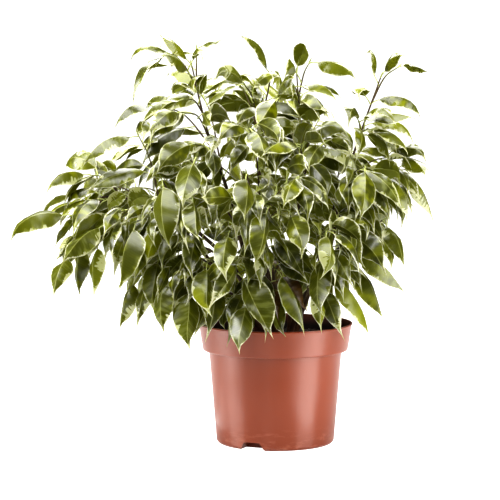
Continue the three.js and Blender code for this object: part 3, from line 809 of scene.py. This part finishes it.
def addLeaf(skeleton, leaf):
    look, number = leafyStem, leaf["number"]
    shares = look["ribShares"]
    faces = facesOf(leaf, shares, math.radians(between((-look["twist"], look["twist"]), chance(number, 10))))
    curl = [between((-1, 1), chance(number, k)) * look["tipCurl"] for k in (12, 13)]
    arch = between(look["arch"], chance(number, 17)) * np.linalg.norm(leaf["tip"] - leaf["base"])
    droop = 0 if leaf["young"] == 1 else between(look["droop"], chance(number, 18))
    droop = plant["hung"].get(number, droop)
    ribs = []
    for share, face in zip(shares, faces):
        late = max(0, share - look["tipFrom"]) ** 2 / 0.1
        bow = 4 * arch * share * (1 - share)
        aside = np.cross(ribAhead(leaf, share), face)
        curled = late * (aside * curl[0] + face * curl[1] * 0.6 - up * droop)
        ribs.append(ribOf(leaf, share) + curled + face * bow)
    seed = chance(number, 11)
    # most leaves that hang at the crown's front take a dark seed's colours
    if leaf["bend"][1] < look["frontOf"] and chance(number, 19) < look["darkFrontShare"]:
        seed = look["darkFrontSeeds"][number % len(look["darkFrontSeeds"])] + 0.01 * seed
    own = {
        "leafSeed": plant["tinted"].get(number, seed),
        "young": -1 if number in plant["withered"] else leaf["young"],
    }
    fold = leaf["fold"] + between(look["fold"], chance(number, 15)) + look["youngFold"] * leaf["young"]
    addPath(
        skeleton, ribs, part=2, face=faces, reach=leaf["halfWidth"] * look["slim"] * mm, along=list(shares),
        fold=fold, span=lengthOf(ribs) * mm, **own,
    )
    seat, base = leaf["seat"], leaf["base"]
    sag = up * np.linalg.norm(base - seat) * look["stalkSag"]
    stalk = [seat, lerp(seat, base, 0.35) + sag, lerp(seat, base, 0.7) + sag, base]
    stalk += [ribOf(leaf, share) - facesOf(leaf, [share])[0] * 0.35 for share in look["stalkShares"]]
    addPath(skeleton, stalk, part=1, reach=[r * mm for r in look["stalkRadii"]], **own)


# The tree that grows a skeleton's lines into bark, stalks and blades.
def leafyStemTree(stemSizes):
    tree, add, sizes = newTree("leafy stem", stemSizes)
    read = {
        name: add("GeometryNodeInputNamedAttribute", {"Name": name}, data_type=kind).outputs[0]
        for name, kind in {**pathValues, **bladeValues}.items()
    }
    isPart, lines = [], []
    for k in range(3):
        isPart.append(add("FunctionNodeCompare", {"A": read["part"], "B": k}, data_type="INT", operation="EQUAL"))
        kept = add("GeometryNodeSeparateGeometry", [sizes["Geometry"], isPart[k]], domain="POINT")
        lines.append(add("GeometryNodeMeshToCurve", [kept]))
    grownParts = []
    for line, sides in zip(lines, ("Cane sides", "Stalk sides")):
        ring = add("GeometryNodeCurvePrimitiveCircle", {"Resolution": sizes[sides], "Radius": 1.0})
        grownParts.append(add(
            "GeometryNodeCurveToMesh",
            {"Curve": line, "Profile Curve": ring, "Scale": read["reach"], "Fill Caps": True},
        ))

    # A blade is swept with six points round it, which are then set in place by their attributes.
    ahead = add("GeometryNodeInputTangent")
    side = add("ShaderNodeVectorMath", [ahead, read["face"]], operation="CROSS_PRODUCT")
    side = add("ShaderNodeVectorMath", [side], operation="NORMALIZE")
    here = add("GeometryNodeInputPosition")
    rib = lines[2]
    for name, value in (("side", side), ("ribPlace", here)):
        rib = add(
            "GeometryNodeStoreNamedAttribute", {"Geometry": rib, "Name": name, "Value": value},
            data_type="FLOAT_VECTOR", domain="POINT",
        )
    ring = add("GeometryNodeCurvePrimitiveCircle", {"Resolution": 6, "Radius": 1.0})
    counter = add("GeometryNodeInputIndex")
    roundBlade = {"acrossShare": (1, 0.5, 0, -0.5, -1, 0), "upShare": (0, 1, 0.1, 1, 0, -2.2)}
    for name, values in roundBlade.items():
        switch = add("GeometryNodeIndexSwitch", data_type="FLOAT")
        while len(switch.index_switch_items) < len(values):
            switch.index_switch_items.new()
        feed(switch, {"Index": counter, **{k + 1: value for k, value in enumerate(values)}})
        ring = add(
            "GeometryNodeStoreNamedAttribute", {"Geometry": ring, "Name": name, "Value": switch},
            data_type="FLOAT", domain="POINT",
        )
    blade = add("GeometryNodeCurveToMesh", {"Curve": rib, "Profile Curve": ring, "Scale": 0.001, "Fill Caps": True})
    outline = add("ShaderNodeFloatCurve", {"Value": read["along"]})
    curve = outline.mapping.curves[0]
    shape = list(zip(leafyStem["ribShares"], leafyStem["widths"]))
    curve.points[0].location, curve.points[-1].location = shape[0], shape[-1]
    for x, y in shape[1:-1]:
        curve.points.new(x, y)
    outline.mapping.update()
    width = add("ShaderNodeMath", [outline, read["reach"]], operation="MULTIPLY")
    across = add("ShaderNodeMath", [width, read["acrossShare"]], operation="MULTIPLY")
    out = add("ShaderNodeMath", [read["acrossShare"]], operation="ABSOLUTE")
    inner = add("ShaderNodeMath", [1.0, out], operation="SUBTRACT")
    inset = add("ShaderNodeMath", [inner, width], operation="MULTIPLY")
    fold = add("ShaderNodeMath", [out, read["fold"]], operation="MULTIPLY")
    puff = inner
    for factor in (out, 4.0, sizes["Blade puff"]):
        puff = add("ShaderNodeMath", [puff, factor], operation="MULTIPLY")
    rise = add("ShaderNodeMath", [puff, fold], operation="SUBTRACT")
    rise = add("ShaderNodeMath", [rise, width], operation="MULTIPLY")
    taper = add("ShaderNodeMapRange", {"Value": read["along"], "From Min": 1.0, "From Max": 0.92})
    thick = add("ShaderNodeMath", [read["upShare"], sizes["Blade thickness"]], operation="MULTIPLY")
    rise = add("ShaderNodeMath", [thick, taper, rise], operation="MULTIPLY_ADD")
    phase = add("ShaderNodeMath", [read["leafSeed"], 9.0], operation="MULTIPLY")
    for name, turns in (("acrossShare", 0.21), ("along", sizes["Waves along the edge"])):
        phase = add("ShaderNodeMath", [read[name], turns, phase], operation="MULTIPLY_ADD")
    phase = add("ShaderNodeMath", [phase, 2 * math.pi], operation="MULTIPLY")
    wave = add("ShaderNodeMath", [phase], operation="SINE")
    for factor in (out, out, outline):
        wave = add("ShaderNodeMath", [wave, factor], operation="MULTIPLY")
    rise = add("ShaderNodeMath", [wave, sizes["Edge wave"], rise], operation="MULTIPLY_ADD")
    spot = read["ribPlace"]
    for way, far in ((read["side"], across), (read["face"], rise)):
        step = add("ShaderNodeVectorMath", {"Vector": way, "Scale": far}, operation="SCALE")
        spot = add("ShaderNodeVectorMath", [spot, step], operation="ADD")
    blade = add("GeometryNodeSetPosition", {"Geometry": blade, "Position": spot})

    # What the leaf material reads: the place on the blade, the way in from its edge, and its side.
    far = add("ShaderNodeMath", [read["along"], read["span"]], operation="MULTIPLY")
    own = add("ShaderNodeMath", [read["leafSeed"], 13.0], operation="MULTIPLY")
    place = add("ShaderNodeCombineXYZ", {"X": across, "Y": far, "Z": own})
    under = add("FunctionNodeCompare", {"A": read["upShare"], "B": -0.1}, data_type="FLOAT", operation="LESS_THAN")
    for name, value, kind, domain in (
        ("leafPlace", place, "FLOAT_VECTOR", "POINT"),
        ("inset", inset, "FLOAT", "POINT"),
        ("underside", under, "FLOAT", "FACE"),
    ):
        blade = add(
            "GeometryNodeStoreNamedAttribute", {"Geometry": blade, "Name": name, "Value": value},
            data_type=kind, domain=domain,
        )
    grownParts.append(blade)
    grown = add("GeometryNodeJoinGeometry", [grownParts])
    grown = add("GeometryNodeMergeByDistance", {"Geometry": grown, "Distance": 0.004 * mm})
    grown = add("GeometryNodeSetShadeSmooth", {"Geometry": grown, "Shade Smooth": True}, domain="FACE")

    # The rib is a crease, so the two halves of a blade catch the light apart.
    middle = add("ShaderNodeMath", [out, 0.5], operation="SUBTRACT")
    middle = add("ShaderNodeMath", [middle], operation="ABSOLUTE")
    crease = add("FunctionNodeCompare", {"A": middle, "B": 0.49}, data_type="FLOAT", operation="GREATER_THAN")
    crease = add("FunctionNodeBooleanMath", [isPart[2], crease], operation="AND")
    grown = add(
        "GeometryNodeSetShadeSmooth", {"Geometry": grown, "Selection": crease, "Shade Smooth": False},
        domain="EDGE",
    )
    grown = add("GeometryNodeRealizeInstances", {"Geometry": grown})
    for isIt, name in zip(isPart, ("Bark", "Stalk", "Leaf")):
        grown = add("GeometryNodeSetMaterial", {"Geometry": grown, "Selection": isIt, "Material": sizes[name]})
    add("NodeGroupOutput", [grown])
    return tree


stemSizes = {
    "Cane sides": 9,
    "Stalk sides": 5,
    "Blade thickness": 0.16 * mm,
    "Blade puff": 0.05,  # how far each half bulges, as a share of its width
    "Edge wave": 1.2 * mm,
    "Waves along the edge": 1.7,
    "Bark": figBark(),
    "Stalk": leafStalk(),
    "Leaf": variegatedLeaf(),
}
stemTree = leafyStemTree(stemSizes)
for name in stems:
    skeleton = {key: [] for key in ("points", "edges", *pathValues)}
    for shoot in shoots:
        if shoot["node"] == name:
            addShoot(skeleton, shoot)
    for leaf in leaves:
        if leaf["node"] == name:
            addLeaf(skeleton, leaf)
    piece = newPiece(name.replace("stem", "foliage"), skeleton["points"], skeleton["edges"])
    for key, kind in pathValues.items():
        attribute = piece.data.attributes.new(key, kind, "POINT")
        field = "vector" if kind == "FLOAT_VECTOR" else "value"
        attribute.data.foreach_set(field, np.array(skeleton[key]).ravel())
    applyTree(piece, stemTree, stemSizes)
    for key in (*pathValues, *bladeValues):
        spare = piece.data.attributes.get(key)
        if spare and key not in ("leafSeed", "young"):  # which the materials read
            piece.data.attributes.remove(spare)
    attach(piece, "root")
    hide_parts(name)
    print(piece.name, "faces:", len(piece.data.polygons))


# The pot, in mm

pot = {
    "outside": [
        (0, 0), (52.0, 0), (53.8, 1.9), (60.8, 85.5), (66.0, 85.5), (66.5, 86.6), (69.85, 108.2), (70.55, 108.6),
        (70.55, 110),
    ],
    "inside": [(68.6, 110), (65.1, 88.3), (59.4, 86.9), (52.4, 1.8), (0, 1.8)],
    "fillets": [0, 1.2, 2.6, 0.7, 0.9, 0.6, 0.3, 0.35, 0.6, 0.5, 1.6, 1.4, 1.0, 0],
    "ringsOnWall": (3.5, 5, 6.5, 8, 10, 13, 20, 40, 60),  # they keep the faces round the notches small
    "sides": 192,
    "wall": 1.4,
    "sharpFrom": 38,  # degrees between two faces, above which their edge is sharp
    "notchTurns": (-24, 156),  # degrees from the front
    "notchHeight": 7.3,
    "notchFoot": 25,
    "notchTop": 15,
    "notchCorner": 1.6,
    "notchInner": 38,
    "notchOuter": 62,
    "notchBoss": [(0, 0.3), (52.3, 0.3), (53.4, 1.9), (54.6, 16), (0, 16)],  # what its walls stay within
    "drainRadius": 3.5,
    "drainCircle": 26,
    "drainBehind": 7,  # from the notch to the middle of the hole behind it
    "plastic": ("#773416", "#7e3a1b"),
    "gloss": (0.27, 0.31),
    "dust": "#c9937a",
    # the painted shade on the inner wall, darkest over the soil
    "paintedInnerShade": "#1d0f0a",
}


# The points of a profile, with each corner rounded to its own radius.
def rounded(profile, radii, steps=4):
    points = []
    last = len(profile) - 1
    for i, (corner, radius) in enumerate(zip(profile, radii)):
        corner = Vector(corner)
        if i in (0, last) or not radius:
            points.append(corner)
            continue
        back, ahead = (Vector(profile[k]) - corner for k in (i - 1, i + 1))
        half = back.angle(ahead) / 2
        cut = min(radius / math.tan(half), back.length * 0.45, ahead.length * 0.45)
        start, end = corner + back.normalized() * cut, corner + ahead.normalized() * cut
        for k in range(steps + 1):
            t = k / steps
            points.append(start.lerp(corner, t).lerp(corner.lerp(end, t), t))
    return points


def ringOf(radius, height, sides):
    turns = [2 * math.pi * j / sides for j in range(sides)]
    return [(radius * math.cos(a) * mm, radius * math.sin(a) * mm, height * mm) for a in turns]


def turned(name, points, sides):  # a closed solid of revolution, whose first and last points are on the axis
    spots, faces = [], []
    inner = points[1:-1]
    for radius, height in inner:
        spots += ringOf(radius, height, sides)
    for i in range(len(inner) - 1):
        for j in range(sides):
            k = (j + 1) % sides
            faces.append((i * sides + j, i * sides + k, (i + 1) * sides + k, (i + 1) * sides + j))
    spots += [(0, 0, points[0][1] * mm), (0, 0, points[-1][1] * mm)]
    top = (len(inner) - 1) * sides
    for j in range(sides):
        k = (j + 1) % sides
        faces.append((len(spots) - 2, k, j))
        faces.append((top + j, top + k, len(spots) - 1))
    return newPiece(name, spots, faces=faces)


def combine(piece, other, operation):
    modifier = piece.modifiers.new(operation, "BOOLEAN")
    modifier.operation, modifier.object, modifier.solver = operation, other, "MANIFOLD"
    keepResult(piece, modifier)
    bpy.data.objects.remove(other)


def outwards(piece):  # turns every face of a closed shell to the outside
    shell = bmesh.new()
    shell.from_mesh(piece.data)
    bmesh.ops.recalc_face_normals(shell, faces=shell.faces[:])
    shell.to_mesh(piece.data)
    shell.free()
    return piece


# The drainage step in the foot: a trapezoid that runs in from the side, grown by a margin.
def notchBlock(turn, margin):
    p = pot
    foot, top = p["notchFoot"] / 2 + margin, p["notchTop"] / 2 + margin
    outline = [(-foot, -1), (foot, -1), (top, p["notchHeight"] + margin), (-top, p["notchHeight"] + margin)]
    outline = [Vector(c) for c in outline]
    section = outline[:2]
    for k in (2, 3):  # its rounded upper corners
        before, after = outline[k - 1], outline[(k + 1) % 4]
        start = outline[k] + (before - outline[k]).normalized() * p["notchCorner"]
        end = outline[k] + (after - outline[k]).normalized() * p["notchCorner"]
        section += [start.lerp(outline[k], t).lerp(outline[k].lerp(end, t), t) for t in (0, 0.25, 0.5, 0.75, 1)]
    count = len(section)
    spots = [(x * mm, -y * mm, z * mm) for y in (p["notchInner"] - margin, p["notchOuter"]) for x, z in section]
    faces = [tuple(range(count))[::-1], tuple(range(count, 2 * count))]
    faces += [(j, (j + 1) % count, count + (j + 1) % count, count + j) for j in range(count)]
    block = newPiece("notch block", spots, faces=faces)
    block.data.transform(Matrix.Rotation(math.radians(turn), 4, "Z"))
    return outwards(block)


def drain(x, y):  # the bar that cuts one hole through the base
    radius, half = pot["drainRadius"], 20
    rod = turned("bar", [(0, -half), (radius, -half), (radius, half), (0, half)], 32)
    rod.data.transform(Matrix.Translation((x * mm, y * mm, 0)))
    return outwards(rod)


def makePot():
    p = pot
    profile = rounded(p["outside"] + p["inside"], p["fillets"])
    shell = []
    for here, after in zip(profile, profile[1:]):
        shell.append(here)
        if abs(after[1] - here[1]) > 60:  # the outer and the inner wall
            levels = p["ringsOnWall"] if after[1] > here[1] else p["ringsOnWall"][::-1]
            shell += [here.lerp(after, (z - here[1]) / (after[1] - here[1])) for z in levels]
    shell.append(profile[-1])
    piece = outwards(turned("nursery_pot", shell, p["sides"]))
    for turn in p["notchTurns"]:
        boss = notchBlock(turn, p["wall"])
        combine(boss, outwards(turned("envelope", [Vector(c) for c in p["notchBoss"]], p["sides"])), "INTERSECT")
        combine(piece, boss, "UNION")
        combine(piece, notchBlock(turn, 0), "DIFFERENCE")
        angle = math.radians(turn)
        r = p["notchInner"] + p["drainBehind"]
        combine(piece, drain(r * math.sin(angle), -r * math.cos(angle)), "DIFFERENCE")
    for i in range(4):
        angle = math.pi / 4 + i * math.pi / 2
        combine(piece, drain(math.cos(angle) * p["drainCircle"], math.sin(angle) * p["drainCircle"]), "DIFFERENCE")
    piece.data.shade_smooth()
    piece.data.set_sharp_from_angle(angle=math.radians(p["sharpFrom"]))
    return piece


# Injection-moulded polypropylene coloured terracotta: satin and slightly waxy, so it takes wide soft
# reflections. Handling leaves pale scuffs and a little dried soil near the foot.
def mouldedPolypropylene():
    look = pot
    material, add, shader = newMaterial("moulded terracotta polypropylene")
    spot = add("ShaderNodeTexCoord").outputs["Object"]
    x, y, z = add("ShaderNodeSeparateXYZ", [spot]).outputs
    flat = add("ShaderNodeVectorMath", [spot, (1.0, 1.0, 3.2)], operation="MULTIPLY")
    # Clouds of colour 55 mm wide, marks of 13 mm, haze of 17 mm, ripples of 36 mm and a fine grain.
    cloud, marks, haze, ripple, grain = (
        add("ShaderNodeTexNoise", {"Vector": over, "Scale": scale, "Detail": detail, "Roughness": rough})
        for over, scale, detail, rough in (
            (spot, 18.0, 2.0, 0.5), (flat, 75.0, 5.0, 0.65), (spot, 60.0, 4.0, 0.5), (spot, 28.0, 1.0, 0.5),
            (spot, 1400.0, 1.0, 0.5),
        )
    )
    # Dust and rubbed marks gather low on the wall and at its foot.
    low = add("ShaderNodeMapRange", {"Value": z, "From Min": 22 * mm, "From Max": 0.0})
    marks = add("ShaderNodeMapRange", {"Value": marks, "From Min": 0.5, "From Max": 0.75})
    for factor in (low, 0.4):
        marks = add("ShaderNodeMath", [marks, factor], operation="MULTIPLY")
    # Painted shade darkens the inner wall, most just over the soil's surface.
    normal = add("ShaderNodeNewGeometry").outputs["Normal"]
    radial = add("ShaderNodeVectorMath", [spot, (1.0, 1.0, 0.0)], operation="MULTIPLY")
    facing = add("ShaderNodeVectorMath", [radial, normal], operation="DOT_PRODUCT").outputs["Value"]
    inner = add("ShaderNodeMapRange", {"Value": facing, "From Min": -0.01, "From Max": -0.03})
    paintedInnerShade = add("ShaderNodeMapRange", {"Value": z, "From Min": 110.5 * mm, "From Max": 100 * mm, "To Min": 0.35})
    paintedInnerShade = add("ShaderNodeMath", [paintedInnerShade, inner], operation="MULTIPLY")
    dark, light = look["plastic"]
    colour = add("ShaderNodeMix", {"Factor": cloud, "A": dark, "B": light}, data_type="RGBA")
    # dust, then the painted shade on the inner wall
    for share, tone in ((marks, look["dust"]), (paintedInnerShade, look["paintedInnerShade"])):
        colour = add("ShaderNodeMix", {"Factor": share, "A": colour, "B": tone}, data_type="RGBA")
    smooth, rough = look["gloss"]
    haze = add("ShaderNodeMapRange", {"Value": haze, "To Min": smooth, "To Max": rough})
    # dust, and the inner wall's painted shade, are rougher
    for share, more in ((marks, 0.4), (paintedInnerShade, 0.6)):
        haze = add("ShaderNodeMath", [share, more, haze], operation="MULTIPLY_ADD")
    relief = add("ShaderNodeMath", [grain, 0.05, ripple], operation="MULTIPLY_ADD")
    bump = add("ShaderNodeBump", {"Strength": 0.25, "Distance": 1.2 * mm, "Height": relief})
    feed(shader, {"Base Color": colour, "Roughness": haze, "Normal": bump, "IOR": 1.52})
    return material


nurseryPot = makePot()
nurseryPot.data.materials.clear()
nurseryPot.data.materials.append(mouldedPolypropylene())
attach(nurseryPot, "root")
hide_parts("pot")
print("pot faces:", len(nurseryPot.data.polygons))


# The soil, in mm

soil = {
    "level": plant["soilLevel"],
    "edge": 65.3,
    "rings": 34,
    "sides": 120,
    "below": ((64.6, 88.9), (59.0, 87.3), (52.0, 2.2)),  # its rings in the pot: radius and height
    "play": 0.4,  # off the walls of the drainage steps
    "crumbs": 1100,
    "crumbSize": (0.7, 2.6),
    "crumbsWithin": 62.5,
    "crumbsOver": 90,  # the height that only the upper face reaches
    "colours": ("#120c08", "#3b2a1d"),
    "bits": "#7c6248",
}


def soilHeight(x, y):  # soft dips, fine lumps, and an edge that slopes down to the wall
    wide = 1.3 * math.sin(0.21 * x + 1) * math.cos(0.17 * y) + 0.8 * math.sin(0.43 * x - 0.31 * y)
    fine = noise.fractal((x * 0.16, y * 0.16, 3.7), 0.6, 2.1, 4)
    edge = max(0, math.hypot(x, y) / soil["edge"] - 0.86) / 0.14
    return soil["level"] + wide * (1 - edge) + fine * 1.1 - 1.6 * edge**2


def makeSoil():
    spots, faces = [(0, 0, soilHeight(0, 0) * mm)], []
    rings, sides = soil["rings"], soil["sides"]
    for i in range(1, rings + 1):
        r = soil["edge"] * i / rings
        for j in range(sides):
            a = 2 * math.pi * j / sides
            x, y = r * math.cos(a), r * math.sin(a)
            spots.append((x * mm, y * mm, soilHeight(x, y) * mm))
    for radius, height in soil["below"]:
        spots += ringOf(radius, height, sides)
    spots.append((0, 0, soil["below"][-1][1] * mm))
    for j in range(sides):
        k = (j + 1) % sides
        faces.append((0, 1 + j, 1 + k))
        for i in range(rings + 2):
            a = 1 + i * sides
            faces.append((a + j, a + sides + j, a + sides + k, a + k))
        a = 1 + (rings + 2) * sides
        faces.append((a + j, len(spots) - 1, a + k))
    piece = outwards(newPiece("potting_soil", spots, faces=faces))
    for turn in pot["notchTurns"]:
        combine(piece, notchBlock(turn, pot["wall"] + soil["play"]), "DIFFERENCE")
    piece.data.shade_smooth()
    return piece


# Crumbs, scattered over the soil's upper face.
def crumbTree(crumbSizes):
    tree, add, sizes = newTree("soil crumbs", crumbSizes)
    here = add("GeometryNodeInputPosition")
    x, y, z = add("ShaderNodeSeparateXYZ", [here]).outputs
    flat = add("ShaderNodeCombineXYZ", {"X": x, "Y": y})
    radius = add("ShaderNodeVectorMath", [flat], operation="LENGTH").outputs["Value"]
    inside = add("FunctionNodeCompare", {"A": radius, "B": sizes["Within"]}, data_type="FLOAT", operation="LESS_THAN")
    high = add("FunctionNodeCompare", {"A": z, "B": sizes["Over"]}, data_type="FLOAT", operation="GREATER_THAN")
    top = add("FunctionNodeBooleanMath", [inside, high], operation="AND")
    area = math.pi * crumbSizes["Within"] ** 2
    density = add("ShaderNodeMath", [sizes["Crumbs"], area], operation="DIVIDE")
    points = add(
        "GeometryNodeDistributePointsOnFaces",
        {"Mesh": sizes["Geometry"], "Selection": top, "Density": density, "Seed": sizes["Seed"]},
    )
    crumb = add("GeometryNodeMeshIcoSphere", {"Radius": 0.5, "Subdivisions": 1})
    lumps = add("ShaderNodeTexNoise", {"Vector": here, "Scale": 2.6, "Detail": 1.0})
    lumps = add("ShaderNodeMapRange", {"Value": lumps, "To Min": 0.45, "To Max": 1.5})
    shaped = add("ShaderNodeVectorMath", {"Vector": here, "Scale": lumps}, operation="SCALE")
    crumb = add("GeometryNodeSetPosition", {"Geometry": crumb, "Position": shaped})
    size = add("FunctionNodeRandomValue", {"Min": 0.0, "Max": 1.0}, data_type="FLOAT")
    size = add("ShaderNodeMath", [size, 3.0], operation="POWER")  # most crumbs are small
    size = add("ShaderNodeMapRange", {"Value": size, "To Min": sizes["Smallest"], "To Max": sizes["Largest"]})
    turn = add(
        "FunctionNodeRandomValue", {"Min": (0.0, 0.0, 0.0), "Max": (6.28, 6.28, 6.28)}, data_type="FLOAT_VECTOR"
    )
    crumbs = add(
        "GeometryNodeInstanceOnPoints",
        {"Points": points.outputs["Points"], "Instance": crumb, "Rotation": turn, "Scale": size},
    )
    crumbs = add("GeometryNodeRealizeInstances", {"Geometry": crumbs})
    crumbs = add("GeometryNodeSetShadeSmooth", {"Geometry": crumbs, "Shade Smooth": True}, domain="FACE")
    both = add("GeometryNodeJoinGeometry", [[sizes["Geometry"], crumbs]])
    both = add("GeometryNodeSetMaterial", {"Geometry": both, "Material": sizes["Earth"]})
    add("NodeGroupOutput", [both])
    return tree


# Moist peat potting mix: dark, rough and matt, with crumbs a millimetre or two wide and paler bits.
def pottingMix():
    material, add, shader = newMaterial("moist peat potting mix")
    spot = add("ShaderNodeTexCoord").outputs["Object"]
    lumps = add("ShaderNodeTexNoise", {"Vector": spot, "Scale": 380.0, "Detail": 4.0})
    share = add("ShaderNodeMapRange", {"Value": lumps, "From Min": 0.35, "From Max": 0.7})
    bits = add("ShaderNodeTexVoronoi", {"Vector": spot, "Scale": 240.0})
    bits = add("ShaderNodeMapRange", {"Value": bits, "From Min": 0.16, "From Max": 0.1, "To Max": 0.55})
    colour, light = soil["colours"]
    for over, tone in ((share, light), (bits, soil["bits"])):
        colour = add("ShaderNodeMix", {"Factor": over, "A": colour, "B": tone}, data_type="RGBA")
    bump = add("ShaderNodeBump", {"Strength": 0.8, "Distance": 1.2 * mm, "Height": lumps})
    feed(shader, {"Base Color": colour, "Normal": bump, "Roughness": 0.85})
    return material


crumbSizes = {
    "Crumbs": soil["crumbs"],
    "Smallest": soil["crumbSize"][0] * mm,
    "Largest": soil["crumbSize"][1] * mm,
    "Within": soil["crumbsWithin"] * mm,
    "Over": soil["crumbsOver"] * mm,
    "Seed": 5,
    "Earth": pottingMix(),
}
pottingSoil = makeSoil()
applyTree(pottingSoil, crumbTree(crumbSizes), crumbSizes)
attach(pottingSoil, "root")
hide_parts("soil")
print("soil faces:", len(pottingSoil.data.polygons))


# The studio: a glossy white table that glows, soft lamps at both sides of the plant, above, behind
# and in front of it, a low lamp and two panels on the table that give the pot its long soft stripes,
# and the camera.

studio = {
    "white": 0.6,
    "floorGlow": (0.34, 1.0),  # as it lights the plant, and as it looks
    "world": 0.06,
    "lights": {  # place, size and power
        "left": ((-1.5, -0.25, 0.85), (0.9, 1.0), 29),
        "right": ((1.35, -0.8, 0.95), (1.0, 1.4), 25),
        "above": ((-0.3, -0.35, 1.55), (1.6, 1.2), 40),
        "behind": ((0.1, 1.35, 1.5), (2.2, 1.2), 44),
        "front": ((-0.5, -2.1, 1.15), (0.9, 0.7), 6),
        "flat left": ((-0.235, -0.01, 0.004), (0.3, 0.15), 0.14),
        "low right": ((0.53, -0.33, 0.13), (0.34, 0.24), 0.7),
        "flat right": ((0.225, -0.13, 0.004), (0.3, 0.13), 0.28),
    },
    "lying": 0.01,  # a lamp below this height lies on the table and shines straight up
    "standing": 1,  # one below this height stands upright, and a higher one looks down at the plant
    "aimHeight": 0.2,
    "camera": (-0.0232, -1.98, 0.36),
    "tilt": 84.7,
    "focal": 2180,  # in pixels of the photograph's 500
    "photoWidth": 500,
    "sensor": 36,
    "table": (6, -0.3, 9),  # its half width, its front edge, just outside the view, and its back edge
}


def makeStudio():
    s = studio
    wide, near, far = s["table"]
    corners = [(-wide, near, 0), (wide, near, 0), (wide, far, 0), (-wide, far, 0)]
    floor = newPiece("floor", corners, faces=[(0, 1, 2, 3)])
    # Glossy white acrylic: a bright table that mirrors the lamps, and is as white as what is behind it.
    material, add, shader = newMaterial("glossy white acrylic")
    glows = []
    world = bpy.data.worlds.new("white studio")
    world.use_nodes = True
    for put, (lit, look) in ((add, s["floorGlow"]), (partial(addNode, world.node_tree), (s["world"], 1.0))):
        seen = put("ShaderNodeLightPath").outputs["Is Camera Ray"]
        glows.append(put("ShaderNodeMapRange", {"Value": seen, "To Min": lit, "To Max": look}))
    feed(shader, {
        "Base Color": (s["white"], s["white"], s["white"], 1),
        "Roughness": 0.1,
        "IOR": 1.9,  # a hard lacquer, which mirrors the lamps towards the pot
        "Emission Color": (1, 1, 1, 1),
        "Emission Strength": glows[0],
    })
    floor.data.materials.append(material)
    feed(world.node_tree.nodes["Background"], {"Color": (1, 1, 1, 1), "Strength": glows[1]})
    scene.world = world
    for name, (spot, size, power) in s["lights"].items():
        light = bpy.data.lights.new(name, "AREA")
        light.shape, light.size, light.size_y, light.energy = "RECTANGLE", size[0], size[1], power
        holder = bpy.data.objects.new(name, light)
        holder.location = spot
        aim = Vector((0, 0, spot[2] if spot[2] < s["standing"] else s["aimHeight"]))
        if spot[2] < s["lying"]:
            aim = Vector(spot) + Vector((0, 0, 1))
        holder.rotation_euler = (Vector(spot) - aim).to_track_quat("Z", "Y").to_euler()
        holder.visible_camera = False
        scene.collection.objects.link(holder)
    camera = bpy.data.cameras.new("camera")
    camera.sensor_width = s["sensor"]
    camera.lens = s["focal"] / s["photoWidth"] * s["sensor"]
    camera.clip_end = 30
    holder = bpy.data.objects.new("camera", camera)
    holder.location = s["camera"]
    holder.rotation_euler = (math.radians(s["tilt"]), 0, 0)
    scene.collection.objects.link(holder)
    scene.camera = holder
    scene.view_settings.view_transform = "Standard"
    scene.view_settings.look = "High Contrast"


makeStudio()
print("finished")
